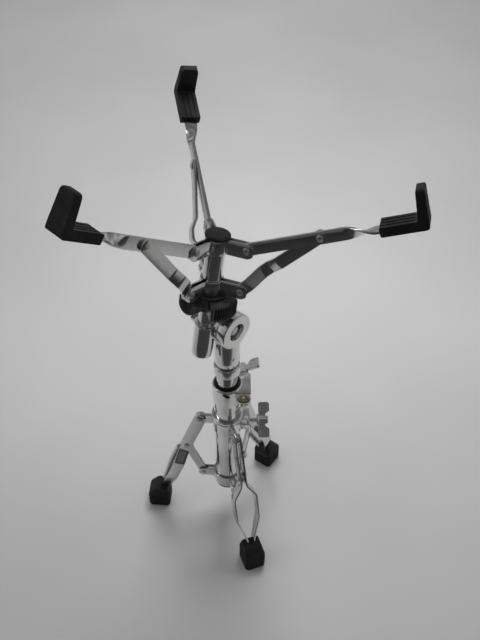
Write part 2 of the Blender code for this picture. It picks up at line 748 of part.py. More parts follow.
def arm_shape():
    """An upright bar that twists a quarter turn beyond its rivet and ends in a flat tongue."""
    half = ARM_WIDTH / 2
    thick = ARM_THICKNESS / 2
    stations = [(X * -along, Z * width, Y * thick) for along, width in round_end(half, half)]
    stations += [(X * 0, Z * half, Y * thick), (X * TWIST_ALONG[0], Z * half, Y * thick)]
    steps = 6
    for k in range(1, steps + 1):
        part = k / steps
        along = TWIST_ALONG[0] + (TWIST_ALONG[1] - TWIST_ALONG[0]) * part
        angle = math.pi / 2 * part
        across = Z * math.cos(angle) - Y * math.sin(angle)
        normal = Y * math.cos(angle) + Z * math.sin(angle)
        depth = thick + (TONGUE_THICKNESS / 2 - thick) * part
        centre = X * along + Y * (TONGUE_SIDE * part)
        stations.append((centre, across * half, normal * depth))
    stations.append((X * TONGUE_END + Y * TONGUE_SIDE, -Y * half, Z * (TONGUE_THICKNESS / 2)))
    return strip(stations)


def brace_shape(length):
    """From its rivet on the arm at the origin, back along -X, bowed sideways into the slider's plane."""
    half = ARM_WIDTH / 2
    thick = Y * (BRACE_THICKNESS / 2)
    places = [(-along, BRACE_OFFSET, width) for along, width in round_end(half, half)]
    places.append((0, BRACE_OFFSET, half))
    places += [(length - along, side, half) for along, side in reversed(BRACE_BENDS)]
    places.append((length, 0.0, half))
    places += [(length + along, 0.0, width) for along, width in reversed(round_end(half, half))]
    return strip([(X * -along + Y * side, Z * width, thick) for along, side, width in places])


def build_basket(mats, mast, bolt):
    """Everything that leans on the tilter's bolt."""
    lean = Matrix.Translation((0, 0, BOLT_HEIGHT)) @ turn(
        Vector((math.cos(BOLT_AZIMUTH), math.sin(BOLT_AZIMUTH), 0)), -BASKET_LEAN
    )
    # The sleeve stands behind the bolt's disc and to one side of it. The basket's heights count from
    # where its axis passes the bolt's own level.
    beside = turn("Z", BOLT_AZIMUTH) @ Vector((-SLEEVE_BACK, -SLEEVE_SIDE, 0))
    beside.z = -SLEEVE_SIDE * math.tan(BASKET_LEAN)
    basket = frame_at("basket_lean", mast, lean @ Matrix.Translation(beside))

    disc = [
        (0, TILT_BOSS_END),
        (TILT_BOSS_R - 0.001, TILT_BOSS_END),
        (TILT_BOSS_R, TILT_BOSS_END + 0.001),
        (TILT_BOSS_R, TILT_DISC_B[0]),
        (TILT_DISC_R, TILT_DISC_B[0]),
        (TILT_DISC_R, TILT_DISC_B[1]),
        (0, TILT_DISC_B[1]),
    ]
    arm = put("tilter_arm", lathe(disc, count=36), bolt, mats["chrome"])
    low, high = SLEEVE_SPAN
    sleeve = [
        (0, low),
        (SLEEVE_R - 0.0006, low),
        (SLEEVE_R, low + 0.0006),
        (SLEEVE_R, high - 0.0022),
        (SLEEVE_R + 0.0007, high - 0.0016),
        (SLEEVE_R + 0.0007, high - 0.0004),
        (SLEEVE_R, high),
        (0, high),
    ]
    add(arm, put("sleeve_wall", lathe(sleeve), basket))
    cut(arm, put("arm_bolt_hole", rod(BOLT_HOLE_R, -0.03, 0.02, 16), bolt))
    cut(arm, put("sleeve_bore", rod(ROD_R + GAP, low - 0.03, high + 0.02), basket))
    side = Matrix.Translation((0, 0, -0.009)) @ turn("Z", math.radians(-52)) @ turn("Y", math.pi / 2)
    socket = frame_at("set_screw_axis", basket, side)
    cut(arm, put("set_screw_hole", rod(0.0024, 0.006, 0.014, 12), socket), solver="MANIFOLD")
    put("sleeve_set_screw", rod(0.0021, ROD_R + GAP, SLEEVE_R - 0.0004, 12), socket, mats["steel"])

    put("basket_rod", rod(ROD_R, *ROD_SPAN), basket, mats["chrome"])
    put("basket_tube", pipe(ROD_R + GAP, BASKET_TUBE_R, *BASKET_TUBE_SPAN), basket, mats["chrome"])
    cap_low = ROD_SPAN[1] + GAP
    cap = [(0, cap_low), (CAP_R, cap_low), (CAP_R, CAP_TOP - 0.0016), (CAP_R - 0.0012, CAP_TOP - 0.0004)]
    cap += [(CAP_R - 0.0035, CAP_TOP), (0, CAP_TOP)]
    put("basket_cap", lathe(cap), basket, mats["plastic"])
    build_bracket("top_bracket", mats, basket, ARM_PIVOT_HEIGHT, TOP_BRACKET_DROP)
    build_bracket("slider_bracket", mats, basket, SLIDER_PIVOT_HEIGHT)

    washer = pipe(BASKET_TUBE_R + GAP, 0.0155, *WASHER_SPAN)
    put("basket_washer", washer, basket, mats["plastic"])
    nut = put("basket_nut", prism(nut_outline(), *NUT_SPAN), basket, mats["plastic"])
    low, high = NUT_SPAN
    counter = BASKET_TUBE_R + 0.0006
    thread = [(0, low - 0.01), (ROD_R + GAP, low - 0.01), (ROD_R + GAP, low + 0.006), (counter, low + 0.006)]
    thread += [(counter, high + 0.01), (0, high + 0.01)]
    cut(nut, put("nut_thread", lathe(thread), basket))

    drop = ARM_PIVOT_HEIGHT - SLIDER_PIVOT_HEIGHT
    run = ARM_RIVET_ALONG * math.cos(ARM_RISE)
    climb = ARM_RIVET_ALONG * math.sin(ARM_RISE) + drop
    brace_length = math.hypot(run, climb)
    brace_rise = math.atan2(climb, run)
    for name, azimuth in ARM_AZIMUTHS.items():
        spin = turn("Z", math.radians(azimuth))
        at = Matrix.Translation((PIVOT_RADIUS, 0, ARM_PIVOT_HEIGHT))
        hinge = frame_at("arm_hinge_" + name, basket, spin @ at @ turn("Y", -ARM_RISE))
        bar = put("arm_" + name, arm_shape(), hinge, mats["chrome"])
        holes = [(ARM_EYE_R, (0, 0, 0)), (RIVET_HOLE_R, (ARM_RIVET_ALONG, 0, 0))]
        cut(bar, pin_cutter("arm_eyes_" + name, hinge, *holes))
        grip = put("grip_" + name, grip_shape(), hinge, mats["rubber"])
        sides = (TONGUE_SIDE - 0.0066, TONGUE_SIDE + 0.0066)
        pocket = box((GRIP_START - 0.01, TONGUE_END + 0.0005), sides, (-0.0017, 0.0017))
        cut(grip, put("grip_pocket_" + name, pocket, hinge))

        rivet_at = Matrix.Translation((PIVOT_RADIUS + run, 0, ARM_PIVOT_HEIGHT + climb - drop))
        swing = frame_at("brace_hinge_" + name, basket, spin @ rivet_at @ turn("Y", -brace_rise))
        brace = put("brace_" + name, brace_shape(brace_length), swing, mats["chrome"])
        holes = [(RIVET_HOLE_R, (0, 0, 0)), (BRACE_EYE_R, (-brace_length, 0, 0))]
        cut(brace, pin_cutter("brace_eyes_" + name, swing, *holes))
        inner = -(ARM_THICKNESS / 2 + GAP)
        outer = BRACE_OFFSET + BRACE_THICKNESS / 2 + GAP
        middle = Matrix.Translation((0, (inner + outer) / 2, 0))
        put(f"brace_{name}_rivet", moved(rivet((outer - inner) / 2), middle), swing, mats["steel"])


def main():
    clear_scene()
    mats = make_materials()
    column = frame_at("column", None, Matrix.Translation((COLUMN_X, COLUMN_Y, 0)))
    build_base(mats, column)
    slide = build_leg_collar(mats, column)
    build_legs(mats, column, slide)
    build_height_clamp(mats, column)
    mast, bolt = build_mast(mats, column)
    build_basket(mats, mast, bolt)


main()
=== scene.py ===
"""The looks of the snare drum stand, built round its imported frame.

Shapes are written in millimetres in the frame of the link that they belong to. The links' places come from
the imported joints.
"""

import json
import math

import bmesh
import bpy
from mathutils import Matrix, Vector


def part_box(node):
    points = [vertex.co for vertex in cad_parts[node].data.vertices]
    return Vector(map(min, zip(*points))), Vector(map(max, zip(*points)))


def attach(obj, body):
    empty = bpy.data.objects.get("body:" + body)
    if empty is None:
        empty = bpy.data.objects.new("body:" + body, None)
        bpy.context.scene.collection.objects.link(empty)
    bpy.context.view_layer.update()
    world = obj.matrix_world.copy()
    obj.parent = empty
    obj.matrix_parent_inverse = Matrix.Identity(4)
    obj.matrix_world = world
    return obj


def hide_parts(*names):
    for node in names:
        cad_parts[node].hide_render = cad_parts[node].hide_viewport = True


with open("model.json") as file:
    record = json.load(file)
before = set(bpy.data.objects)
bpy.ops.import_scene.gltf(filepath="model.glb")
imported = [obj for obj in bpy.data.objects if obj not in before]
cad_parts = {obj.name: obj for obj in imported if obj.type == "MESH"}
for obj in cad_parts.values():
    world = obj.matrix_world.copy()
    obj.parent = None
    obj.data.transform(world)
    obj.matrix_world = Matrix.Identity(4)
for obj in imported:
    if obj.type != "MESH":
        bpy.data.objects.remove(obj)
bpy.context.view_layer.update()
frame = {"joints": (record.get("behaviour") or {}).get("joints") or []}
JOINTS = {joint["name"]: joint for joint in frame["joints"]}

MM = 0.001
TURN_32 = [math.pi * (k + 0.5) / 16 for k in range(32)]
LEGS = ("front", "back", "left")
ARMS = ("left", "right", "rear")

# The stand's driving dimensions, in millimetres.
BASE_TUBE_R = 14.3
BASE_TUBE_Z = (54.0, 178.3)
MAST_R = 11.1
CLAMP_R = 16.0
CLAMP_TOP = 227.4
CLAMP_EDGE_Z = 226.2
CLAMP_CROSS = (17.2, 0, 216.5)
JAW_R = 6.5
HEAD_R = 19.25
HEAD_FACE = (4.0, 13.7)
RECESS_FLOOR = 6.6
NECK_R = 13.6
TILT_BOLT_BORE = 4.1
TILT_DISC_R = 18.6
SLEEVE_R = 10.6
ROD_R = 8.0
BASKET_TUBE_R = 9.5
COLLAR_BORE_R = 14.6
COLLAR_Z = (153.7, 177.5)
LEG_RIVET_GRIP = 4.3
STAY_HALF = (5.0, 6.0)
BAR_WIDTH = 12.5
LEG_M = 51.1
LEG_END = 151.0
BAR_OFFSET = 3.0
BOW_OFFSET = 13.0
LEG_ANGLE = math.radians(19.46)
FOOT_CENTRE = 84.0
FOOT_HEIGHT = 31.5
FOOT_HALF = (12.9, 12.15)
FOOT_CORNER = 2.8
PIVOT_RADIUS = 28.2
ARM_PIVOT = 100.5
SLIDER_PIVOT = 55.0
ARM_THICKNESS = 3.0
BRACE_OFFSET = 3.05
BRACKET_PLATE = 1.7
TONGUE_SIDE = -3.2
BRACE_BENDS = ((11.0, 0.0), (26.0, 9.6), (36.0, 9.6), (47.0, 4.7), (84.0, BRACE_OFFSET))
GRIP_START = 123.2
GRIP_INNER = 156.0
GRIP_END = 164.8
GRIP_TOP = 33.5
GRIP_LEAN = 1.5
GRIP_HALF_WIDTH = 9.6
GRIP_LOW = -3.2
GRIP_HIGH = 6.0
NUT_SPAN = (28.5, 44.9)
NUT_HOLLOW_R = 13.0
NUT_LOBE_R = 28.4
NUT_RIBS = 66
NUT_RIB_DEPTH = 1.7
CLEAR = 0.3

X = Vector((1, 0, 0))
Y = Vector((0, 1, 0))
Z = Vector((0, 0, 1))


# ---------------------------------------------------------------- places


def spot(name):
    return Vector(JOINTS[name]["pos_m"])


def axis_of(name):
    return Vector(JOINTS[name]["axis"]).normalized()


def place(origin, x, y):
    """The frame with this origin in metres and these two unit axes."""
    z = x.cross(y)
    rows = [(x[i], y[i], z[i], origin[i]) for i in range(3)]
    return Matrix((*rows, (0, 0, 0, 1)))


def shift(x=0.0, y=0.0, z=0.0):
    return Matrix.Translation(Vector((x, y, z)) * MM)


def turn(axis, degrees):
    return Matrix.Rotation(math.radians(degrees), 4, axis)


def column_frame():
    at = spot("mast_swivel")
    return Matrix.Translation((at.x, at.y, 0))


def tilt_frame():
    """Z runs out along the tilter's bolt, towards its head, and Y is level."""
    bolt = axis_of("basket_tilt")
    return place(spot("basket_tilt"), -Z, bolt.cross(-Z))


def outward(name, origin, axis):
    """Which way an arm points, square to the basket's axis."""
    arm = spot(name + "_arm_hinge") - origin
    return (arm - axis * arm.dot(axis)).normalized()


def basket_frame():
    """Z runs up the basket's axis, and X points along the left arm."""
    axis = axis_of("basket_slider_slide")
    origin = spot("basket_nut_turn")
    out = outward("left", origin, axis)
    return place(origin, out, axis.cross(out))


def arm_frame(name):
    hinge = spot(name + "_arm_hinge")
    along = (spot(name + "_brace_hinge") - hinge).normalized()
    return place(hinge, along, -axis_of(name + "_arm_hinge"))


def brace_frame(name):
    axis = axis_of("basket_slider_slide")
    origin = spot("basket_nut_turn")
    foot = origin + (axis * SLIDER_PIVOT + outward(name, origin, axis) * PIVOT_RADIUS) * MM
    rivet = spot(name + "_brace_hinge")
    reach = rivet - foot
    return place(rivet, reach.normalized(), -axis_of(name + "_arm_hinge")), reach.length / MM


def radial(name, joint):
    away = spot(name + joint) - spot("mast_swivel")
    return Vector((away.x, away.y, 0)).normalized()


def leg_frame(name):
    out = radial(name, "_leg_hinge")
    up = Z * math.cos(LEG_ANGLE) - out * math.sin(LEG_ANGLE)
    across = -axis_of(name + "_leg_hinge")
    return place(spot(name + "_leg_hinge"), across.cross(up), across)


def stay_frame(name):
    """Z runs up the stay to its rivet in the leg. The stay's length comes with it."""
    reach = leg_frame(name) @ Vector((0, 0, -LEG_M * MM)) - spot(name + "_stay_hinge")
    across = axis_of(name + "_stay_hinge")
    return place(spot(name + "_stay_hinge"), across.cross(reach.normalized()), across), reach.length / MM


def upright(name, joint):
    """A level frame at a leg's joint: X points outwards."""
    out = radial(name, joint)
    return place(spot(name + joint), out, Z.cross(out))


COLUMN = column_frame()
TILT = tilt_frame()
BASKET = basket_frame()


# ---------------------------------------------------------------- shapes


def moved(shape, matrix):
    """A shape in millimetres moved by a matrix whose own lengths are in metres."""
    lifted = matrix.copy()
    lifted.translation /= MM
    return [lifted @ Vector(p) for p in shape[0]], shape[1]


def fillet(path, radius, steps=4, closed=False):
    """A 2-D path with its corners rounded. A point may carry its own radius as a third number."""
    count = len(path)
    rounded = []
    for i, point in enumerate(path):
        here = Vector(point[:2])
        size = point[2] if len(point) > 2 else radius
        if size == 0 or (not closed and i in (0, count - 1)):
            rounded.append(tuple(here))
            continue
        back, ahead = Vector(path[i - 1][:2]) - here, Vector(path[(i + 1) % count][:2]) - here
        angle = back.angle(ahead, math.pi)
        if angle > math.radians(177) or angle < math.radians(3):
            rounded.append(tuple(here))
            continue
        run = min(size / math.tan(angle / 2), 0.48 * back.length, 0.48 * ahead.length)
        start, end = here + back.normalized() * run, here + ahead.normalized() * run
        for k in range(steps + 1):
            t = k / steps
            rounded.append(tuple(start * (1 - t) ** 2 + here * (2 * t * (1 - t)) + end * t**2))
    return rounded


def lathe(profile, ring=False, count=96):
    """Turn (radius, height) points about Z: from axis to axis, or a closed loop where ring is true."""
    points, rows = [], []
    for radius, height in profile:
        if radius < 1e-6:
            rows.append([len(points)] * count)
            points.append((0, 0, height))
            continue
        rows.append(list(range(len(points), len(points) + count)))
        for i in range(count):
            angle = 2 * math.pi * i / count
            points.append((radius * math.cos(angle), radius * math.sin(angle), height))
    pairs = list(zip(rows, rows[1:] + rows[:1])) if ring else list(zip(rows, rows[1:]))
    faces = []
    for low, high in pairs:
        for i in range(count):
            j = (i + 1) % count
            corners = [low[i], low[j], high[j], high[i]]
            face = [c for k, c in enumerate(corners) if c != corners[k - 1]]
            if len(face) > 2:
                faces.append(face)
    return points, faces


def turned(profile, edge=0.5, count=96):
    """A solid turned from axis to axis, with its corners rounded."""
    return lathe(fillet(profile, edge), count=count)


def pipe(profile, edge=0.4, count=96):
    """A ring turned from a closed profile, with its corners rounded."""
    return lathe(fillet(profile, edge, closed=True), ring=True, count=count)


def tube(inner, outer, low, high, edge=0.4, count=96):
    return pipe([(inner, low), (outer, low), (outer, high), (inner, high)], edge, count)


def rod(radius, low, high, edge=0.0, count=48):
    return turned([(0, low), (radius, low), (radius, high), (0, high)], edge, count)


def prism(outline, low, high):
    count = len(outline)
    points = [(x, y, low) for x, y in outline] + [(x, y, high) for x, y in outline]
    faces = [list(range(count - 1, -1, -1)), list(range(count, 2 * count))]
    for i in range(count):
        j = (i + 1) % count
        faces.append([i, j, count + j, count + i])
    return points, faces


def loft(rings):
    """A closed solid through rings of equally many points, from the lowest up."""
    count = len(rings[0])
    last = len(rings) - 1
    points = [point for ring in rings for point in ring]
    faces = [list(range(count - 1, -1, -1)), [count * last + i for i in range(count)]]
    for k in range(last):
        for i in range(count):
            j = (i + 1) % count
            faces.append([count * k + i, count * k + j, count * k + count + j, count * k + count + i])
    return points, faces


def box(xs, ys, zs):
    points = [(x, y, z) for x in xs for y in ys for z in zs]
    return points, [(0, 1, 3, 2), (4, 6, 7, 5), (0, 4, 5, 1), (2, 3, 7, 6), (0, 2, 6, 4), (1, 5, 7, 3)]


def bar(stations, corner=0.5):
    """A flat bar with rounded edges, through (centre, half width vector, half thickness vector) stations."""
    points, faces = [], []
    per_corner = 3
    ring = 4 * per_corner
    for centre, across, normal in stations:
        centre, across, normal = Vector(centre), Vector(across), Vector(normal)
        wide, thick = across.length, normal.length
        r = min(corner, 0.95 * thick, 0.95 * wide)
        for quarter, (sx, sy) in enumerate(((1, 1), (-1, 1), (-1, -1), (1, -1))):
            for k in range(per_corner):
                angle = math.pi / 2 * (quarter + k / (per_corner - 1))
                side = sx * (wide - r) + r * math.cos(angle)
                face = sy * (thick - r) + r * math.sin(angle)
                points.append(centre + across.normalized() * side + normal.normalized() * face)
    last = len(stations) - 1
    faces.append(list(range(ring)))
    faces.append([ring * last + i for i in reversed(range(ring))])
    for s in range(last):
        for i in range(ring):
            j = (i + 1) % ring
            faces.append([ring * s + i, ring * s + ring + i, ring * s + ring + j, ring * s + j])
    return points, faces


def eye_end(half, reach, steps=10):
    """(distance past the eye's centre, half width) pairs of a rounded end, from the tip inwards."""
    angles = [math.radians(8 + 82 * i / steps) for i in range(steps)]
    return [(reach * math.cos(a), half * math.sin(a)) for a in angles]


def bent_bar(path, half_width, thickness, widths=None, ends=(True, True), corner=0.5):
    """A bar of even thickness bent in the XY plane along a 2-D path, standing on edge along Z."""
    spots = [Vector(p) for p in path]
    lengths = [0.0]
    for a, b in zip(spots, spots[1:]):
        lengths.append(lengths[-1] + (b - a).length)
    total = lengths[-1]

    def width_at(distance):
        return half_width if widths is None else widths(distance, total)

    stations = []
    for i, at in enumerate(spots):
        before = (at - spots[i - 1]).normalized() if i else (spots[1] - at).normalized()
        after = (spots[i + 1] - at).normalized() if i < len(spots) - 1 else before
        along = (before + after).normalized()
        reach = thickness / 2 / max(along.dot(before), 0.5)
        stations.append((at, along, reach, width_at(lengths[i])))
    at, along, _, width = stations[0]
    first = [(at - along * d, along, thickness / 2, w) for d, w in eye_end(width, width)]
    at, along, _, width = stations[-1]
    last = [(at + along * d, along, thickness / 2, w) for d, w in reversed(eye_end(width, width))]
    stations = (first if ends[0] else []) + stations + (last if ends[1] else [])
    out = []
    for at, along, reach, width in stations:
        out.append((at.to_3d(), Z * width, Vector((-along.y, along.x, 0)) * reach))
    return bar(out, corner)


def put(name, shape, matrix=None, edge=35.0):
    """An object of a shape in millimetres, standing in a link's frame."""
    mesh = bpy.data.meshes.new(name)
    mesh.from_pydata([Vector(p) * MM for p in shape[0]], [], shape[1])
    work = bmesh.new()
    work.from_mesh(mesh)
    bmesh.ops.remove_doubles(work, verts=work.verts, dist=1e-7)
    bmesh.ops.recalc_face_normals(work, faces=work.faces)
    work.to_mesh(mesh)
    work.free()
    mesh.shade_smooth()
    mesh.set_sharp_from_angle(angle=math.radians(edge))
    obj = bpy.data.objects.new(name, mesh)
    bpy.context.scene.collection.objects.link(obj)
    if matrix is not None:
        obj.matrix_world = matrix
    return obj


def carve(obj, operation, *cutters):
    """Boolean each cutter into the object's mesh, then throw the cutters away."""
    bpy.context.view_layer.update()
    for cutter in cutters:
        step = obj.modifiers.new("carve", "BOOLEAN")
        step.operation = operation
        step.object = cutter
        step.solver = "EXACT"
    bpy.context.view_layer.update()
    graph = bpy.context.evaluated_depsgraph_get()
    mesh = bpy.data.meshes.new_from_object(obj.evaluated_get(graph))
    obj.modifiers.clear()
    old = obj.data
    obj.data = mesh
    bpy.data.meshes.remove(old)
    for cutter in cutters:
        bpy.data.objects.remove(cutter)
    mesh.shade_smooth()
    mesh.set_sharp_from_angle(angle=math.radians(32))
    return obj


def soften(obj, width, segments=3, angle=30.0):
    """Round the object's edges, in millimetres."""
    step = obj.modifiers.new("edges", "BEVEL")
    step.width = width * MM
    step.segments = segments
    step.limit_method = "ANGLE"
    step.angle_limit = math.radians(angle)
    step.harden_normals = True
    return obj


def finish_piece(obj, mat, slot, body, *nodes):
    obj.data.materials.clear()
    obj.data.materials.append(mat)
    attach(obj, body)
    if nodes:
        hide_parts(*nodes)
    return obj


# ---------------------------------------------------------------- materials


class Nodes:
    """A short way to write a material's nodes."""

    def __init__(self, name):
        self.mat = bpy.data.materials.new(name)
        self.mat.use_nodes = True
        self.tree = self.mat.node_tree
        self.shader = self.tree.nodes["Principled BSDF"]
        self.coords = self.tree.nodes.new("ShaderNodeTexCoord").outputs["Object"]

    def link(self, source, target):
        self.tree.links.new(source, target)

    def stretched(self, scale):
        mapping = self.tree.nodes.new("ShaderNodeMapping")
        mapping.inputs["Scale"].default_value = scale
        self.link(self.coords, mapping.inputs["Vector"])
        return mapping.outputs["Vector"]

    def noise(self, scale, detail=4.0, roughness=0.6, vector=None, distortion=0.0):
        node = self.tree.nodes.new("ShaderNodeTexNoise")
        node.inputs["Scale"].default_value = scale
        node.inputs["Detail"].default_value = detail
        node.inputs["Roughness"].default_value = roughness
        node.inputs["Distortion"].default_value = distortion
        self.link(vector or self.coords, node.inputs["Vector"])
        return node.outputs["Fac"]

    def ramp(self, source, stops):
        node = self.tree.nodes.new("ShaderNodeValToRGB")
        while len(node.color_ramp.elements) < len(stops):
            node.color_ramp.elements.new(0.5)
        for element, (position, colour) in zip(node.color_ramp.elements, stops):
            element.position = position
            element.color = colour if isinstance(colour, tuple) else (colour, colour, colour, 1)
        self.link(source, node.inputs["Fac"])
        return node.outputs["Color"]

    def math(self, operation, *values):
        node = self.tree.nodes.new("ShaderNodeMath")
        node.operation = operation
        for value, socket in zip(values, node.inputs):
            if isinstance(value, float):
                socket.default_value = value
            else:
                self.link(value, socket)
        return node.outputs["Value"]

    def bump(self, height, strength, distance):
        node = self.tree.nodes.new("ShaderNodeBump")
        node.inputs["Strength"].default_value = strength
        node.inputs["Distance"].default_value = distance
        self.link(height, node.inputs["Height"])
        self.link(node.outputs["Normal"], self.shader.inputs["Normal"])


def grey(value, warm=0.0):
    return (value * (1 + warm), value, value * (1 - warm), 1)


def metal(name, base, rough, spread, wear=0.5, grain=None, warm=0.006):
    """Plated metal: faint cloudy colour, haze and fingermarks in the gloss, tiny pits."""
    n = Nodes(name)
    n.shader.inputs["Metallic"].default_value = 1.0
    clouds = n.noise(38.0, 5.0, 0.62, distortion=0.3)
    spots = n.noise(900.0, 2.0, 0.5)
    stops = [(0.30, grey(base * 0.88, warm * 2)), (0.50, grey(base, warm)), (0.75, grey(base * 1.05, warm))]
    tone = n.ramp(clouds, stops)
    pits = n.ramp(spots, [(0.24, 0.0), (0.31, 1.0)])
    mix = n.tree.nodes.new("ShaderNodeMix")
    mix.data_type = "RGBA"
    mix.inputs["A"].default_value = grey(base * (1 - 0.65 * wear), 0.05)
    n.link(tone, mix.inputs["B"])
    n.link(n.math("ADD", n.math("MULTIPLY", pits, wear), 1.0 - wear), mix.inputs["Factor"])
    n.link(mix.outputs["Result"], n.shader.inputs["Base Color"])
    haze = n.noise(110.0, 6.0, 0.7, distortion=1.2)
    gloss = n.ramp(haze, [(0.35, rough), (0.52, rough + 0.3 * spread), (0.72, rough + spread)])
    n.link(gloss, n.shader.inputs["Roughness"])
    height = n.noise(26.0, 2.0, 0.5)
    if grain:
        height = n.noise(60.0, 6.0, 0.75, n.stretched(grain))
        n.bump(height, 0.16, 0.00006)
    else:
        n.bump(height, 0.25, 0.00012)
    return n.mat


def rubber(name, base, sheen, crest_highlight=0.0):
    """Moulded rubber: fine skin, a little dust in the hollows, a worn sheen and, if asked, a painted
    highlight: paler colour on pointy edges such as rib crests.
    """
    n = Nodes(name)
    dust = n.noise(55.0, 6.0, 0.7)
    tone = n.ramp(dust, [(0.38, grey(base)), (0.56, grey(base * 1.5)), (0.74, grey(base * 3.2, 0.03))])
    # Painted highlight: pointy edges such as rib crests get a paler colour, standing in for the light that
    # they catch.
    if crest_highlight:
        edges = n.tree.nodes.new("ShaderNodeNewGeometry").outputs["Pointiness"]
        crest_light = n.tree.nodes.new("ShaderNodeMix")
        crest_light.data_type = "RGBA"
        crest_light.blend_type = "ADD"
        crest_light.inputs["Factor"].default_value = 1.0
        n.link(tone, crest_light.inputs["A"])
        n.link(n.ramp(edges, [(0.50, 0.0), (0.54, crest_highlight)]), crest_light.inputs["B"])
        tone = crest_light.outputs["Result"]
    n.link(tone, n.shader.inputs["Base Color"])
    skin = n.noise(1500.0, 3.0, 0.6)
    gloss = n.ramp(n.noise(90.0, 4.0, 0.6), [(0.35, sheen), (0.7, sheen + 0.18)])
    n.link(gloss, n.shader.inputs["Roughness"])
    n.bump(n.math("ADD", skin, n.noise(240.0, 4.0, 0.6)), 0.35, 0.00012)
    n.shader.inputs["Specular IOR Level"].default_value = 0.30
    return n.mat


def brass(name):
    n = Nodes(name)
    n.shader.inputs["Metallic"].default_value = 1.0
    clouds = n.noise(180.0, 5.0, 0.6)
    stops = [(0.35, (0.50, 0.40, 0.24, 1)), (0.6, (0.74, 0.65, 0.46, 1)), (0.8, (0.80, 0.72, 0.55, 1))]
    tone = n.ramp(clouds, stops)
    n.link(tone, n.shader.inputs["Base Color"])
    n.link(n.ramp(clouds, [(0.3, 0.42), (0.7, 0.24)]), n.shader.inputs["Roughness"])
    n.bump(n.noise(70.0, 4.0, 0.7, n.stretched((1, 1, 30))), 0.2, 0.00006)
    return n.mat


CHROME = metal("chrome plate", 0.80, 0.035, 0.10, 0.35)
CAST = metal("chromed casting", 0.80, 0.05, 0.14, 0.5)
STRIP = metal("chromed strip", 0.66, 0.10, 0.16, 0.5, grain=(1, 1, 14))
PLATE = metal("chromed plate", 0.70, 0.07, 0.14, 0.45)
STEEL = metal("plated steel", 0.70, 0.38, 0.18, 0.5, warm=0.02)
RUBBER = rubber("black rubber", 0.0085, 0.58)
MATT = rubber("matt moulded plastic", 0.0060, 0.50)
# The knob's last number paints a highlight on its rib crests and other pointy edges.
KNOB = rubber("black moulded plastic", 0.0070, 0.26, 0.030)
KNOB.node_tree.nodes["Principled BSDF"].inputs["Specular IOR Level"].default_value = 0.8
NYLON = rubber("black nylon", 0.0065, 0.42)
BRASS = brass("turned brass")


# ---------------------------------------------------------------- small pieces


def rivet(grip):
    """A tubular rivet along Y: a plain dome on +Y and a rolled, hollow head on -Y."""
    head = 3.6
    dome = [(0, grip + 1.45), (0.45 * head, grip + 1.35), (0.85 * head, grip + 0.85)]
    dome += [(head, grip), (1.7, grip)]
    rolled = [(1.7, -grip), (head * 0.92, -grip), (head * 0.92, -grip - 0.55), (head * 0.62, -grip - 1.25)]
    rolled += [(head * 0.38, -grip - 1.0), (head * 0.32, -grip), (head * 0.32, 1.4 - grip), (0, 1.4 - grip)]
    profile = fillet(dome, 0.25, 3) + fillet(rolled, 0.25, 3)
    return moved(lathe(profile, count=40), turn("X", -90))


def wing_outline(reach, low, high, hub_top):
    """A wing's edge as fillet points: joined to the hub along most of its height, with broad square tips."""
    half = [
        (0.0, low + 0.9, 0.5),
        (0.5 * reach, low + 0.2, 5.0),
        (reach, low, 2.6),
        (reach, high - 0.4, 2.8),
        (0.50 * reach, high, 3.2),
        (0.34 * reach, hub_top - 3.2, 2.4),
        (0.0, hub_top - 3.0, 0.5),
    ]
    return half + [(-x, z, r) for x, z, r in reversed(half[1:-1])]


def wing_head(name, matrix, slot, body, node, reach, low, high, hub_r, hub_top, shank=None, thread=None):
    """A cast wing head on Z: its turned hub, its blade with raised rims, and its shank."""
    hub = [(0, 0), (hub_r * 1.15, 0), (hub_r * 1.15, 1.6), (hub_r, 2.6)]
    hub += [(hub_r * 0.80, hub_top, 1.4), (0, hub_top)]
    if thread:
        hub = [(thread, 0), *hub[1:-1], (thread, hub_top)]
    make = pipe if thread else turned
    pieces = [put(name + "_hub", make(hub, 0.8, 64), matrix)]
    edge = fillet(wing_outline(reach, low, high, hub_top), 2.0, 6, closed=True)
    blade = put(name + "_blade", moved(prism(edge, -1.7, 1.7), turn("X", 90)), matrix)
    cutters = []
    near, far = 0.52 * reach, 0.86 * reach
    for side in (-1, 1):
        lens = [(near, low + 2.2), (far, low + 2.2), (far, high - 2.2), (near, high - 2.6)]
        lens = fillet([(side * x, z) for x, z in lens], 1.8, 4, closed=True)
        for face in (-1, 1):
            flat = moved(prism(lens, face * 1.1, face * 3.0), turn("X", 90))
            cutters.append(put(name + "_lens", flat, matrix))
    if thread:
        cutters.append(put(name + "_through", rod(thread, -2, hub_top + 6, 0, 40), matrix))
    carve(blade, "DIFFERENCE", *cutters)
    pieces.append(soften(blade, 0.5, 3, 40))
    if shank:
        pieces.append(put(name + "_shank", shank, matrix))
    for piece in pieces:
        finish_piece(piece, CAST, slot, body)
    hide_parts(node)


def threaded(radius, low, high, pitch=1.5, depth=0.45, count=40):
    """A screw thread as rings, with a chamfered start."""
    profile = [(0, low), (radius - 1.0, low), (radius - depth, low + 0.8)]
    turns = int((high - low - 2.0) / pitch)
    for k in range(turns):
        at = low + 1.0 + k * pitch
        profile += [(radius - depth, at), (radius, at + 0.38 * pitch), (radius, at + 0.6 * pitch)]
    profile += [(radius - depth, high - 0.6), (radius - depth, high), (0, high)]
    return lathe(profile, count=count)


# ---------------------------------------------------------------- tripod


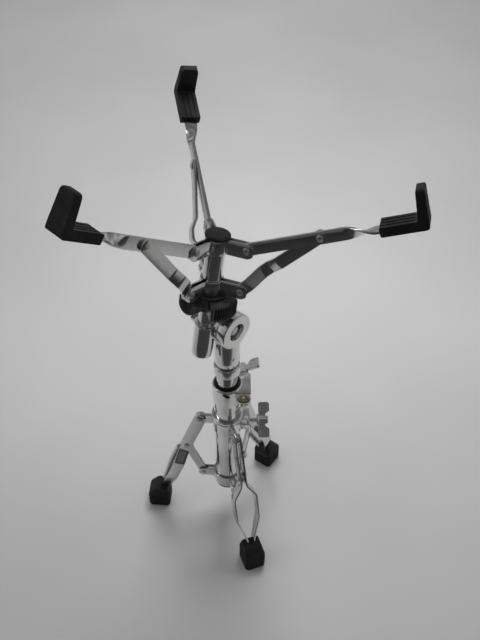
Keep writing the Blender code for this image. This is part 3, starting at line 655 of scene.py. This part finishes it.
def build_base():
    low, high = BASE_TUBE_Z
    wall = tube(12.8, BASE_TUBE_R, low, high, 0.5, 128)
    finish_piece(put("base_tube_chrome", wall, COLUMN), CHROME, "chrome", "stand_base", "base_tube")
    plug = [(0, low - 3.3), (BASE_TUBE_R - 0.6, low - 3.3, 1.2), (BASE_TUBE_R, low - CLEAR, 0.4)]
    plug += [(12.5, low - CLEAR, 0.2), (12.5, low + 7.7), (0, low + 7.7)]
    end = put("tube_end_plug_moulded", turned(plug, 0.5), COLUMN)
    finish_piece(end, MATT, "black_plastic", "stand_base", "tube_end_plug")

    band = put("lower_collar_band", tube(COLLAR_BORE_R, 16.4, 58.5, 73.0, 0.5, 128), COLUMN)
    plates = []
    for name in LEGS:
        for side in (-1, 1):
            stations = [(X * -13.0 + Y * side * BAR_OFFSET, Z * 5.8, Y)]
            stations += [(X * d + Y * side * BAR_OFFSET, Z * w, Y) for d, w in reversed(eye_end(5.8, 6.0))]
            plates.append(put("fork", bar(stations, 0.45), upright(name, "_stay_hinge")))
    carve(band, "UNION", *plates)
    finish_piece(band, PLATE, "chrome", "stand_base", "lower_collar")
    for name in LEGS:
        pin = put(f"stay_rivet_{name}_head", rivet(LEG_RIVET_GRIP), upright(name, "_stay_hinge"))
        finish_piece(pin, STEEL, "steel", "stand_base", f"stay_rivet_{name}")


def build_leg_collar():
    low, high = COLLAR_Z
    wall, bead = 16.8, 17.5
    profile = [(COLLAR_BORE_R, low), (wall, low, 0.8)]
    for ring in (high - 5.7, high - 1.7):
        profile += [(wall, ring - 1.5, 0.3), (bead, ring - 0.7, 0.5)]
        profile += [(bead, ring + 0.7, 0.5), (wall, ring + 1.5, 0.3)]
    profile = profile[:-1] + [(16.6, high, 0.4), (COLLAR_BORE_R, high, 0.3)]
    collar = put("leg_collar_cast", pipe(profile, 0.4, 128), COLUMN)
    lugs = []
    for name in LEGS:
        at = upright(name, "_leg_hinge")
        stations = [(X * -14.0, Z * 6.8, Y * 1.7)]
        stations += [(X * d, Z * w, Y * 1.7) for d, w in reversed(eye_end(6.8, 5.5))]
        lugs.append(put("lug", bar(stations, 0.5), at))
    boss = soften(put("boss", box((14.9, 24.6), (-14.0, 10.0), (158.5, 173.0)), COLUMN), 1.0, 3)
    carve(collar, "UNION", boss, *lugs)
    pocket = soften(put("pocket", box((12.5, 19.5), (-20.0, -9.0), (157.0, 168.0)), COLUMN), 0.6, 2)
    bore = put("bore", rod(COLLAR_BORE_R, low - 10, high + 10, 0, 128), COLUMN)
    carve(collar, "DIFFERENCE", pocket)
    carve(collar, "DIFFERENCE", bore)
    finish_piece(collar, CAST, "chrome", "leg_slider", "leg_collar")

    screw = Matrix.Translation(spot("leg_screw_turn")) @ turn("Y", 90)
    seat = screw @ shift(z=32.0) @ turn("Z", -52)
    shape = (19.5, 2.0, 14.5, 6.0, 13.0)
    shank = threaded(3.0, -16.8, 1.0)
    wing_head("leg_wing_screw", seat, "chrome", "leg_screw", "leg_wing_screw", *shape, shank)


def leg_bar(side):
    half = BAR_WIDTH / 2
    path = [
        (0, BAR_OFFSET),
        (LEG_M + 9.0, BAR_OFFSET),
        (LEG_M + 24.5, BOW_OFFSET),
        (106.5, BOW_OFFSET),
        (136.0, 4.4),
        (LEG_END, 2.6),
    ]
    path = [(along, side * offset) for along, offset in fillet(path, 9.0, 5)]

    def widths(distance, total):
        return half * (1 - 0.28 * max(0.0, (distance - 112) / (total - 112)))

    shape = bent_bar(path, half, 2.0, widths, ends=(True, False), corner=0.55)
    # The path runs along X and the bar stands on edge along Z: turn it to run down the leg.
    return moved(shape, turn("Y", 90))


def foot_outline(long, wide, corner):
    ring = [(long, wide - corner), (long - corner, wide), (corner - long, wide), (-long, wide - corner)]
    ring += [(-long, corner - wide), (corner - long, -wide), (long - corner, -wide), (long, corner - wide)]
    return fillet(ring, 1.6, 3, closed=True)


def foot_shape():
    """A ribbed block with its upper edges cut away, standing on Z = 0 with its length along X."""
    levels = [(0.0, 0.955, 0.955, 0.0), (0.8, 0.99, 0.99, 0.0)]
    rib, groove = 2.7, 1.3
    height = 2.0
    while height < 20.0:
        levels += [(height, 1.0, 1.0, 0.0), (height + 0.3, 0.88, 0.88, 0.0)]
        levels += [(height + groove - 0.3, 0.88, 0.88, 0.0), (height + groove, 1.0, 1.0, 0.0)]
        height += rib
    levels += [(22.4, 0.985, 0.99, -0.9), (23.6, 0.93, 0.97, -1.3), (29.6, 0.63, 0.88, -3.0)]
    levels += [(FOOT_HEIGHT - 0.5, 0.57, 0.85, -3.4), (FOOT_HEIGHT, 0.52, 0.80, -3.5)]
    long, wide = FOOT_HALF
    rings = []
    for z, along, across, lean in levels:
        outline = foot_outline(long * along, wide * across, FOOT_CORNER * along)
        rings.append([(x + lean, y, z) for x, y in outline])
    return loft(rings)


def build_legs():
    for name in LEGS:
        leg = leg_frame(name)
        for side, word in ((-1, "a"), (1, "b")):
            strip = put(f"leg_{name}_strip_{word}", leg_bar(side), leg)
            finish_piece(strip, STRIP, "chrome", f"{name}_leg", f"leg_{name}_bar_{word}")
        for word, along in (("top", 0.0), ("mid", LEG_M)):
            pin = put(f"leg_{name}_{word}_rivet_head", rivet(LEG_RIVET_GRIP), leg @ shift(z=-along))
            finish_piece(pin, STEEL, "steel", f"{name}_leg", f"leg_{name}_{word}_rivet")
        stand = Matrix.Translation(COLUMN.translation) @ upright(name, "_leg_hinge").to_3x3().to_4x4()
        foot = put(f"foot_{name}_rubber", foot_shape(), stand @ shift(x=FOOT_CENTRE), 25)
        finish_piece(foot, RUBBER, "rubber", f"{name}_leg", f"foot_{name}")

        base, length = stay_frame(name)
        foot_half, head_half = STAY_HALF
        thick = Y * 1.5
        stations = [(Z * -d, X * w, thick) for d, w in eye_end(foot_half, foot_half)]
        stations += [(Z * 0, X * foot_half, thick), (Z * (length - 9.0), X * foot_half, thick)]
        stations += [(Z * (length - 3.5), X * head_half, thick)]
        stations += [(Z * (length + d), X * w, thick) for d, w in reversed(eye_end(head_half, head_half))]
        stay = put(f"stay_{name}_strip", bar(stations, 0.5), base)
        finish_piece(stay, STRIP, "chrome", f"{name}_stay", f"stay_{name}")


# ---------------------------------------------------------------- mast


def build_clamp():
    top = CLAMP_TOP
    body = [
        (0, 168.1),
        (12.5, 168.1, 0.4),
        (12.5, 178.6, 0.1),
        (BASE_TUBE_R + 0.1, 178.6, 0.3),
        (BASE_TUBE_R + 0.1, 188.0, 14.0),
        (CLAMP_R, 203.0, 14.0),
        (CLAMP_R, top - 1.2, 0.8),
        (CLAMP_R - 0.9, top, 0.5),
        (0, top),
    ]
    clamp = put("height_clamp_cast", turned(body, 0.5, 128), COLUMN)
    outline = [(2.0, -13.5), (14.0, -15.0, 2.5), (25.0, -15.0, 1.6), (25.0, 13.5, 1.6), (2.0, 13.5)]
    block = put("block", prism(fillet(outline, 2.0, 5, closed=True), 208.0, CLAMP_EDGE_Z), COLUMN)
    carve(clamp, "UNION", soften(block, 0.7, 3))
    bore = [(0, 150.0), (11.6, 150.0), (11.6, 204.5), (13.4, 204.5)]
    bore += [(13.4, 224.0), (14.3, 224.0), (14.3, 240.0), (0, 240.0)]
    carve(clamp, "DIFFERENCE", put("bore", lathe(bore, count=128), COLUMN))
    cross = COLUMN @ shift(*CLAMP_CROSS) @ turn("X", -90)
    carve(clamp, "DIFFERENCE", put("cross", rod(JAW_R + 0.4, -20, 20, 0, 64), cross))
    # The saw cut along the clamp's top edge and the two small slots in its face.
    slit = put("slit", box((-1.0, 30.0), (-20.0, 20.0), (225.0, 225.5)), COLUMN)
    ends = [(2.1 * math.cos(a) + math.copysign(2.2, math.cos(a)), 2.1 * math.sin(a)) for a in TURN_32]
    oval = COLUMN @ turn("Z", -94) @ shift(CLAMP_R, 0, 222.4) @ turn("Y", 90) @ turn("Z", 55)
    slot_cut = put("slot", prism(ends, -4.0, 3.0), oval)
    seam = COLUMN @ turn("Z", -84) @ shift(BASE_TUBE_R, 0, 184.0)
    keyway = put("keyway", box((-3.0, 3.0), (-0.9, 0.9), (-5.0, 5.0)), seam)
    for cutter in (slit, slot_cut, keyway):
        carve(clamp, "DIFFERENCE", cutter)
    finish_piece(clamp, CAST, "chrome", "stand_base", "height_clamp")

    bush = [(MAST_R + CLEAR, 205.0), (13.1, 205.0), (13.1, 224.3, 0.1), (14.0, 224.3)]
    bush += [(14.0, top - 1.0), (MAST_R + CLEAR, top - 1.0)]
    bushing = put("mast_bushing_moulded", pipe(bush, 0.25, 96), COLUMN)
    split = put("split", box((0, 20.0), (-0.7, 0.7), (200.0, 240.0)), COLUMN @ turn("Z", 150))
    carve(bushing, "DIFFERENCE", split)
    finish_piece(bushing, NYLON, "nylon", "stand_base", "mast_bushing")

    for word, low, high in (("front", -13.6, -2.0), ("rear", 2.0, 13.0)):
        jaw = put(f"clamp_jaw_{word}_brass", rod(JAW_R, low, high, 0.5, 64), cross)
        hollow = [(0, low - 1), (4.9, low - 1), (4.4, low + 1.6), (0, low + 1.6)]
        dish = put("dish", turned(hollow, 0.3, 48), cross)
        carve(jaw, "DIFFERENCE", put("relief", rod(13.7, 190, 240, 0, 96), COLUMN), dish)
        carve(jaw, "DIFFERENCE", put("hole", rod(3.3, -20, 20, 0, 40), cross))
        finish_piece(jaw, BRASS, "brass", "stand_base", f"clamp_jaw_{word}")

    shape = (20.0, 5.0, 18.5, 6.2, 16.0)
    shank = threaded(3.0, -31.0, 1.0)
    seat = cross @ shift(z=18.0) @ turn("Z", -28.0)
    wing_head("height_wing_bolt", seat, "chrome", "height_bolt", "height_wing_bolt", *shape, shank)


def build_mast():
    mast = put("mast_tube_chrome", tube(9.6, MAST_R, 84.0, 257.7, 0.4, 128), COLUMN)
    finish_piece(mast, CHROME, "chrome", "mast", "mast_tube")
    low, high = 245.1, 257.3
    ring = [(MAST_R + CLEAR, low), (13.2, low, 0.5), (14.0, low + 1.0, 0.6)]
    ring += [(14.0, high - 1.4, 0.8), (13.0, high, 0.5), (MAST_R + CLEAR, high)]
    lock = put("memory_ring_chrome", pipe(ring, 0.4, 128), COLUMN)
    finish_piece(lock, CHROME, "chrome", "height_lock", "memory_ring")

    foot = 258.0
    neck = [
        (0, foot - 16.0),
        (9.3, foot - 16.0, 0.4),
        (9.3, foot, 0.1),
        (MAST_R + 0.1, foot, 0.2),
        (12.3, foot + 2.6, 3.0),
        (NECK_R, foot + 9.0, 5.0),
        (NECK_R, 281.0, 3.0),
        (12.0, 291.6, 3.4),
        (0, 291.6),
    ]
    body = put("tilter_head_cast", turned(neck, 0.5, 128), COLUMN)
    near, far = HEAD_FACE
    edge = math.acos(near / NECK_R)
    angles = [edge * (1 - k / 20) for k in range(41)]
    arc = [(NECK_R * math.cos(a), NECK_R * math.sin(a)) for a in angles]
    azimuth = math.degrees(math.atan2(TILT[1][2], TILT[0][2]))
    half_neck = put("half_neck", prism(arc, 278.0, 311.8), COLUMN @ turn("Z", azimuth))
    disc = [(0, near), (HEAD_R, near, 0.5), (HEAD_R, far, 1.3), (0, far)]
    carve(body, "UNION", half_neck, put("disc", turned(disc, 0.5, 128), TILT))
    recess = [(0, RECESS_FLOOR), (8.5, RECESS_FLOOR), (8.5, 10.6), (9.4, 13.0), (9.9, 15.0), (0, 15.0)]
    carve(body, "DIFFERENCE", put("recess", turned(recess, 0.4, 96), TILT))
    carve(body, "DIFFERENCE", put("hole", rod(TILT_BOLT_BORE, -30, 20, 0, 48), TILT))
    nick = COLUMN @ turn("Z", -62) @ shift(NECK_R, 0, 275.0) @ turn("X", -24)
    carve(body, "DIFFERENCE", put("notch", box((-2.0, 2.0), (-0.8, 0.8), (-2.2, 2.2)), nick))
    finish_piece(body, CAST, "chrome", "mast", "tilter_head")

    head = RECESS_FLOOR + CLEAR
    shank = fillet([(3.1, -31.0), (3.7, -30.4), (3.7, head)], 0.2)
    dome = [(3.7, head), (6.4, head, 0.3), (6.4, head + 2.0, 1.6), (4.6, head + 4.3, 2.4), (0, head + 4.6)]
    bolt = lathe([(0, -31.0), *shank, *fillet(dome, 0.6, 5)], count=64)
    finish_piece(put("tilter_bolt_turned", bolt, TILT), STEEL, "steel", "mast", "tilter_bolt")

    outward_nut = TILT @ shift(z=-20.3) @ turn("X", 180) @ turn("Z", 90)
    shape = (17.5, 3.0, 14.5, 6.6, 12.0)
    wing_head("tilter_wing_nut", outward_nut, "chrome", "tilter_nut", "tilter_wing_nut", *shape, None, 4.0)


# ---------------------------------------------------------------- basket


def build_tilter_arm():
    disc = [(0, -20.0), (12.0, -20.0, 1.0), (12.0, -3.0, 1.2), (TILT_DISC_R, -3.0, 1.0)]
    disc += [(TILT_DISC_R, 2.2, 0.3), (TILT_DISC_R - 1.4, 3.6, 0.2), (0, 3.6)]
    arm = put("tilter_arm_cast", turned(disc, 0.5, 128), TILT)
    low, high = -29.2, 10.0
    sleeve = [(0, low), (SLEEVE_R - 0.4, low, 0.8), (SLEEVE_R, low + 9.0, 9.0), (SLEEVE_R, high - 2.6, 0.3)]
    sleeve += [(SLEEVE_R + 0.7, high - 1.9, 0.3), (SLEEVE_R + 0.7, high - 0.6, 0.4)]
    sleeve += [(SLEEVE_R - 0.2, high, 0.4), (0, high)]
    carve(arm, "UNION", put("sleeve", turned(sleeve, 0.4, 128), BASKET))
    carve(arm, "DIFFERENCE", put("hole", rod(TILT_BOLT_BORE, -30, 20, 0, 48), TILT))
    carve(arm, "DIFFERENCE", put("bore", rod(ROD_R + CLEAR, low - 30, high + 20, 0, 128), BASKET))
    finish_piece(arm, CAST, "chrome", "basket", "tilter_arm")


def build_set_screw():
    low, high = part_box("sleeve_set_screw")
    middle = (low + high) / 2
    axis = BASKET.to_3x3().col[2]
    foot = BASKET.translation + axis * (middle - BASKET.translation).dot(axis)
    out = (middle - foot).normalized()
    screw = place(middle, axis, out.cross(axis))
    body = put("set_screw_turned", turned([(0, -0.9), (2.0, -0.9), (2.0, 1.0), (0, 1.0)], 0.3, 32), screw)
    hexagon = [(0.9 * math.cos(math.pi * k / 3), 0.9 * math.sin(math.pi * k / 3)) for k in range(6)]
    carve(body, "DIFFERENCE", put("socket", prism(hexagon, 0.2, 2.0), screw))
    finish_piece(body, KNOB, "steel", "basket", "sleeve_set_screw")


def build_rod():
    shaft = put("basket_rod_chrome", rod(ROD_R, -27.0, 107.4, 0.8, 128), BASKET)
    finish_piece(shaft, CHROME, "chrome", "basket", "basket_rod")
    sheath = put("basket_tube_chrome", tube(ROD_R + CLEAR, BASKET_TUBE_R, 40.0, 107.4, 0.3, 128), BASKET)
    finish_piece(sheath, CHROME, "chrome", "basket", "basket_tube")
    cap = [(0, 107.7), (12.1, 107.7, 0.4), (12.1, 109.6, 1.2), (9.8, 110.9, 2.0), (0, 111.2)]
    lid = put("basket_cap_moulded", turned(cap, 0.5, 96), BASKET)
    finish_piece(lid, MATT, "black_plastic", "basket", "basket_cap")


def bracket_plate(start, height, middle):
    """One bent plate: out along an arm, round the tube in three flats, and out along the next arm."""
    wall = 9.8 + BRACKET_PLATE / 2
    side = ARM_THICKNESS / 2 + CLEAR + BRACKET_PLATE / 2
    lead = math.asin(side / wall)
    end = start + 2 * math.pi / 3

    def at(azimuth, out, across):
        x = out * math.cos(azimuth) - across * math.sin(azimuth)
        return x, out * math.sin(azimuth) + across * math.cos(azimuth)

    path = [at(start, 35.0, side)]
    for k in range(5):
        angle = start + lead + (end - start - 2 * lead) * k / 4
        path.append((*at(angle, wall / (1.0 if k in (0, 4) else math.cos(0.19)), 0), 1.6))
    path.append(at(end, 35.0, -side))
    path = fillet(path, 1.6, 4)

    def widths(distance, total):
        near = min(distance, total - distance)
        return height * min(1.0, 0.55 + 0.45 * (near / 4.2) ** 0.8) if near < 4.2 else height

    dense = []
    for a, b in zip(path, path[1:]):
        steps = max(1, int((Vector(b) - Vector(a)).length / 0.8))
        dense += [tuple(Vector(a).lerp(Vector(b), k / steps)) for k in range(steps)]
    dense.append(path[-1])
    shape = bent_bar(dense, height, BRACKET_PLATE, widths, ends=(False, False), corner=0.4)
    return moved(shape, shift(z=middle))


def build_bracket(name, node, body, pivot, drop):
    grip = ARM_THICKNESS / 2 + CLEAR + BRACKET_PLATE
    for k in range(3):
        azimuth = k * 2 * math.pi / 3
        plate = put(f"{name}_plate_{k + 1}", bracket_plate(azimuth, 7.5, pivot - drop), BASKET)
        finish_piece(plate, PLATE, "chrome", body)
        at = BASKET @ turn("Z", 120 * k) @ shift(PIVOT_RADIUS, 0, pivot)
        pin = put(f"{name}_rivet_{k + 1}", rivet(grip), at)
        finish_piece(pin, STEEL, "chrome", body)
    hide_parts(node)


def nut_outline():
    """Three broad ribbed lobes with smooth hollows between them."""
    outline = []
    first = math.radians(70.0) - LEFT_AZIMUTH
    count = 720
    for i in range(count):
        angle = 2 * math.pi * i / count
        lobe = math.cos(3 * (angle - first))
        blend = 0.5 + 0.5 * math.tanh(5 * (lobe + 0.5))
        radius = NUT_HOLLOW_R + (NUT_LOBE_R - NUT_HOLLOW_R) * blend
        rib = 0.5 + 0.5 * math.cos(angle * NUT_RIBS)
        radius -= NUT_RIB_DEPTH * (1 - rib) ** 0.6 * max(0.0, (blend - 0.80) / 0.20)
        outline.append((radius * math.cos(angle), radius * math.sin(angle)))
    return outline


def scaled_outline(outline, inset):
    """The outline with every point drawn in towards the middle by the same distance."""
    scaled = []
    for x, y in outline:
        part = 1 - inset / math.hypot(x, y)
        scaled.append((part * x, part * y))
    return scaled


def build_nut():
    low, high = NUT_SPAN
    outline = nut_outline()
    levels = [(low, 1.5), (low + 0.5, 0.6), (low + 1.4, 0.0)]
    levels += [(high - 1.6, 0.0), (high - 0.6, 0.5), (high, 1.5)]
    rings = [[(x, y, z) for x, y in scaled_outline(outline, inset)] for z, inset in levels]
    nut = put("basket_nut_moulded", loft(rings), BASKET, 40)
    thread = [(0, low - 10), (8.3, low - 10), (8.3, low + 6.0), (10.1, low + 6.0)]
    thread += [(10.1, high - 1.0), (12.0, high + 1.0), (0, high + 1.0)]
    dish = [(0, high - 1.6), (15.5, high - 1.6), (16.3, high + 1.0), (0, high + 1.0)]
    carve(nut, "DIFFERENCE", put("thread", lathe(thread, count=96), BASKET))
    carve(nut, "DIFFERENCE", put("dish", lathe(dish, count=96), BASKET))
    finish_piece(nut, KNOB, "black_knob", "grip_nut", "basket_nut")
    washer = put("basket_washer_moulded", tube(9.8, 15.5, 45.2, 47.0, 0.5, 96), BASKET)
    finish_piece(washer, KNOB, "black_plastic", "nut_washer", "basket_washer")


def arm_shape():
    """An upright bar that twists a quarter turn beyond its rivet and ends in a flat tongue."""
    half = BAR_WIDTH / 2
    thick = ARM_THICKNESS / 2
    stations = [(X * -d, Z * w, Y * thick) for d, w in eye_end(half, half)]
    stations += [(X * 0, Z * half, Y * thick), (X * 44, Z * half, Y * thick)]
    start, end = 90.0, 120.5
    steps = 24
    for k in range(steps + 1):
        part = k / steps
        eased = part * part * (3 - 2 * part)
        angle = math.pi / 2 * eased
        across = Z * math.cos(angle) - Y * math.sin(angle)
        normal = Y * math.cos(angle) + Z * math.sin(angle)
        waist = 1 - 0.08 * math.sin(math.pi * part)
        depth = thick - 0.2 * part
        centre = X * (start + (end - start) * part) + Y * TONGUE_SIDE * eased
        stations.append((centre, across * half * waist, normal * depth))
    stations.append((X * 142.0 + Y * TONGUE_SIDE, -Y * half, Z * 1.3))
    return bar(stations, 0.6)


def brace_shape(length):
    """From its rivet on the arm at the origin, back along -X, bowed sideways into the slider's plane."""
    bends = [(along - length, side) for along, side in reversed(BRACE_BENDS)]
    path = [(0, BRACE_OFFSET), *bends, (-length, 0)]
    return bent_bar(fillet(path, 9.0, 6), BAR_WIDTH / 2, 2.5, corner=0.5)


def grip_shape_cut(hinge):
    """The front outline that rounds the upright's top corners and slims it upwards."""
    wide = GRIP_HALF_WIDTH
    outline = [(-wide, -20.0, 0), (wide, -20.0, 0), (wide, 4.0, 3.0), (wide - 1.2, GRIP_TOP + 0.2, 5.5)]
    outline += [(1.2 - wide, GRIP_TOP + 0.2, 5.5), (-wide, 4.0, 3.0)]
    shape = prism(fillet(outline, 1.0, 6, closed=True), 100.0, 180.0)
    # The outline's first axis runs along the arm's Y, its second along Z, and it is raised along X.
    points = [(z, x + TONGUE_SIDE, y) for x, y, z in shape[0]]
    return put("front", (points, shape[1]), hinge)


def build_grip(name, hinge):
    side = [
        (GRIP_START, GRIP_LOW, 1.6),
        (GRIP_END, GRIP_LOW, 3.5),
        (GRIP_END + GRIP_LEAN, GRIP_TOP, 3.4),
        (GRIP_INNER + GRIP_LEAN + 1.2, GRIP_TOP, 2.6),
        (GRIP_INNER, GRIP_HIGH, 1.6),
        (GRIP_START, GRIP_HIGH, 1.6),
    ]
    sides = (TONGUE_SIDE - GRIP_HALF_WIDTH, TONGUE_SIDE + GRIP_HALF_WIDTH)
    # The quarter turn carries the prism's height to -Y.
    shape = moved(prism(fillet(side, 1.0, 6, closed=True), -sides[1], -sides[0]), turn("X", 90))
    grip = put(f"grip_{name}_rubber", shape, hinge)
    carve(grip, "INTERSECT", grip_shape_cut(hinge))
    grooves = []
    for across in (-5.2, 0.0, 5.2):
        walls = (TONGUE_SIDE + across - 0.8, TONGUE_SIDE + across + 0.8)
        run = box((GRIP_START - 2, GRIP_INNER - 2.5), walls, (GRIP_HIGH - 0.9, GRIP_HIGH + 2))
        rise = box((GRIP_INNER - 2.5, GRIP_INNER + 1.1), walls, (GRIP_HIGH + 3.0, GRIP_TOP - 6.5))
        grooves += [put("groove", run, hinge), put("groove", rise, hinge)]
    carve(grip, "DIFFERENCE", *grooves)
    soften(grip, 0.45, 2, 40)
    finish_piece(grip, RUBBER, "rubber", f"{name}_arm", f"grip_{name}")


def build_arms():
    for name in ARMS:
        hinge = arm_frame(name)
        arm = put(f"arm_{name}_strip", arm_shape(), hinge)
        finish_piece(arm, STRIP, "chrome", f"{name}_arm", f"arm_{name}")
        build_grip(name, hinge)
        swing, length = brace_frame(name)
        brace = put(f"brace_{name}_strip", brace_shape(length), swing)
        finish_piece(brace, STRIP, "chrome", f"{name}_brace", f"brace_{name}")
        inner, outer = -(ARM_THICKNESS / 2 + CLEAR), BRACE_OFFSET + 1.25 + CLEAR
        middle = swing @ shift(y=(inner + outer) / 2)
        pin = put(f"brace_{name}_rivet_head", rivet((outer - inner) / 2), middle)
        finish_piece(pin, STEEL, "steel", f"{name}_brace", f"brace_{name}_rivet")


# ---------------------------------------------------------------- studio


def floor_material():
    """Pale paper. Seen in reflections only, it turns dark a little in front of the stand: a painted dark
    reflection standing in for the dark studio there.
    """
    n = Nodes("studio floor")
    position = n.tree.nodes.new("ShaderNodeNewGeometry").outputs["Position"]
    split = n.tree.nodes.new("ShaderNodeSeparateXYZ")
    n.link(position, split.inputs["Vector"])
    edge = n.tree.nodes.new("ShaderNodeMapRange")
    edge.inputs["From Min"].default_value = FLOOR_EDGE - 0.03
    edge.inputs["From Max"].default_value = FLOOR_EDGE + 0.03
    n.link(split.outputs["Y"], edge.inputs["Value"])
    glossy = n.tree.nodes.new("ShaderNodeLightPath").outputs["Is Glossy Ray"]
    dark_reflection_mask = n.math("MULTIPLY", glossy, n.math("SUBTRACT", 1.0, edge.outputs["Result"]))
    keep = n.math("SUBTRACT", 1.0, dark_reflection_mask)
    paper = n.ramp(n.noise(3.0, 3.0, 0.5), [(0.35, grey(0.40)), (0.65, grey(0.43))])
    scale = n.tree.nodes.new("ShaderNodeMix")
    scale.data_type = "RGBA"
    # Painted dark reflection: the colour that glossy rays see on the floor in front of the edge.
    scale.inputs["A"].default_value = grey(0.06)
    n.link(keep, scale.inputs["Factor"])
    n.link(paper, scale.inputs["B"])
    n.link(scale.outputs["Result"], n.shader.inputs["Base Color"])
    n.shader.inputs["Roughness"].default_value = 0.85
    n.shader.inputs["Specular IOR Level"].default_value = 0.2
    return n.mat


def build_world():
    """Soft even light. Reflections see a dark room in front of the stand and pale walls round the rest."""
    world = bpy.data.worlds.new("studio")
    bpy.context.scene.world = world
    world.use_nodes = True
    tree = world.node_tree
    tree.nodes.clear()
    out = tree.nodes.new("ShaderNodeOutputWorld")
    coords = tree.nodes.new("ShaderNodeTexCoord")
    split = tree.nodes.new("ShaderNodeSeparateXYZ")
    tree.links.new(coords.outputs["Generated"], split.inputs["Vector"])
    front = tree.nodes.new("ShaderNodeValToRGB")
    front.color_ramp.elements[0].position = 0.10
    front.color_ramp.elements[0].color = grey(0.11)
    front.color_ramp.elements[1].position = 0.42
    front.color_ramp.elements[1].color = grey(0.42)
    half = tree.nodes.new("ShaderNodeMath")
    half.operation = "MULTIPLY_ADD"
    half.inputs[1].default_value = 0.5
    half.inputs[2].default_value = 0.5
    tree.links.new(split.outputs["Y"], half.inputs[0])
    tree.links.new(half.outputs["Value"], front.inputs["Fac"])
    rise = tree.nodes.new("ShaderNodeMapRange")
    rise.inputs["From Min"].default_value = 0.12
    rise.inputs["From Max"].default_value = 0.80
    rise.inputs["To Min"].default_value = 1.05
    rise.inputs["To Max"].default_value = 0.55
    tree.links.new(split.outputs["Z"], rise.inputs["Value"])
    cloud = tree.nodes.new("ShaderNodeTexNoise")
    cloud.inputs["Scale"].default_value = 2.6
    cloud.inputs["Detail"].default_value = 2.0
    tree.links.new(coords.outputs["Generated"], cloud.inputs["Vector"])
    uneven = tree.nodes.new("ShaderNodeMapRange")
    uneven.inputs["From Min"].default_value = 0.38
    uneven.inputs["From Max"].default_value = 0.62
    uneven.inputs["To Min"].default_value = 0.45
    uneven.inputs["To Max"].default_value = 1.20
    tree.links.new(cloud.outputs["Fac"], uneven.inputs["Value"])
    shade = tree.nodes.new("ShaderNodeMath")
    shade.operation = "MULTIPLY"
    tree.links.new(rise.outputs["Result"], shade.inputs[0])
    tree.links.new(uneven.outputs["Result"], shade.inputs[1])
    sky = tree.nodes.new("ShaderNodeBackground")
    tree.links.new(shade.outputs["Value"], sky.inputs["Strength"])
    tree.links.new(front.outputs["Color"], sky.inputs["Color"])
    plain = tree.nodes.new("ShaderNodeBackground")
    plain.inputs["Color"].default_value = grey(0.50)
    plain.inputs["Strength"].default_value = 0.52
    path = tree.nodes.new("ShaderNodeLightPath")
    mix = tree.nodes.new("ShaderNodeMixShader")
    tree.links.new(path.outputs["Is Glossy Ray"], mix.inputs["Fac"])
    tree.links.new(plain.outputs["Background"], mix.inputs[1])
    tree.links.new(sky.outputs["Background"], mix.inputs[2])
    tree.links.new(mix.outputs["Shader"], out.inputs["Surface"])


def area_light(name, at, target, size, power):
    data = bpy.data.lights.new(name, "AREA")
    data.shape = "RECTANGLE"
    data.size, data.size_y = size
    data.energy = power
    lamp = bpy.data.objects.new(name, data)
    bpy.context.scene.collection.objects.link(lamp)
    lamp.location = at
    lamp.rotation_euler = (Vector(target) - Vector(at)).to_track_quat("-Z", "Y").to_euler()
    return lamp


def build_studio():
    half = 4.0
    mesh = bpy.data.meshes.new("floor")
    corners = [(-half, -half, 0), (half, -half, 0), (half, half, 0), (-half, half, 0)]
    mesh.from_pydata(corners, [], [(0, 1, 2, 3)])
    floor = bpy.data.objects.new("studio_floor", mesh)
    bpy.context.scene.collection.objects.link(floor)
    floor.location.z = -0.0002
    mesh.materials.append(floor_material())
    build_world()
    pool = area_light("pool", (0.06, 0.36, 0.85), (0.06, 0.36, 0), (0.40, 0.40), 6.2)
    back = area_light("back", (0.0, 1.55, 1.0), (0.0, 1.55, 0), (1.1, 0.7), 6.5)
    top = area_light("top", (-0.25, 0.35, 2.1), (0, 0, 0.2), (1.9, 1.5), 7.0)
    right = area_light("right", (1.7, 0.5, 1.3), (0, 0, 0.25), (1.0, 1.2), 4.0)
    left = area_light("left", (-1.8, -0.1, 1.1), (0, 0, 0.25), (1.0, 1.2), 3.0)
    for lamp in (pool, back, top, right, left):
        lamp.visible_glossy = False
    area_light("window", (-1.1, 0.2, 1.9), (0, 0, 0.35), (0.35, 0.5), 2.0)


def build_camera():
    """The camera's place beside the mast, its pitch, turn and roll, and a lens for the 480 x 640 frame."""
    at = COLUMN.translation + Vector((-1.1, -573.9, 890.8)) * MM
    pitch, turned_right, roll = (math.radians(v) for v in (44.86, 1.4, 0.54))
    forward = Vector((
        math.sin(turned_right) * math.cos(pitch),
        math.cos(turned_right) * math.cos(pitch),
        -math.sin(pitch),
    ))
    right = Vector((math.cos(turned_right), -math.sin(turned_right), 0))
    up = right.cross(forward)
    right, up = (
        right * math.cos(roll) + up * math.sin(roll),
        up * math.cos(roll) - right * math.sin(roll),
    )
    data = bpy.data.cameras.new("camera")
    data.sensor_fit = "VERTICAL"
    data.sensor_height = 24.0
    data.lens = 31.08
    data.clip_start = 0.01
    camera = bpy.data.objects.new("camera", data)
    bpy.context.scene.collection.objects.link(camera)
    camera.matrix_world = place(at, right, up)
    bpy.context.scene.camera = camera


LEFT_AZIMUTH = math.atan2(BASKET[1][0], BASKET[0][0])
# The line in front of the stand past which the floor's reflections are painted dark.
FLOOR_EDGE = COLUMN.translation.y - 0.205

build_base()
build_leg_collar()
build_legs()
build_clamp()
build_mast()
build_tilter_arm()
build_set_screw()
build_rod()
build_bracket("top_bracket", "top_bracket", "basket", ARM_PIVOT, 0.8)
build_bracket("slider_bracket", "slider_bracket", "slider", SLIDER_PIVOT, 0.0)
build_nut()
build_arms()
build_studio()
build_camera()
bpy.context.scene.view_settings.view_transform = "Standard"

bpy.context.view_layer.update()
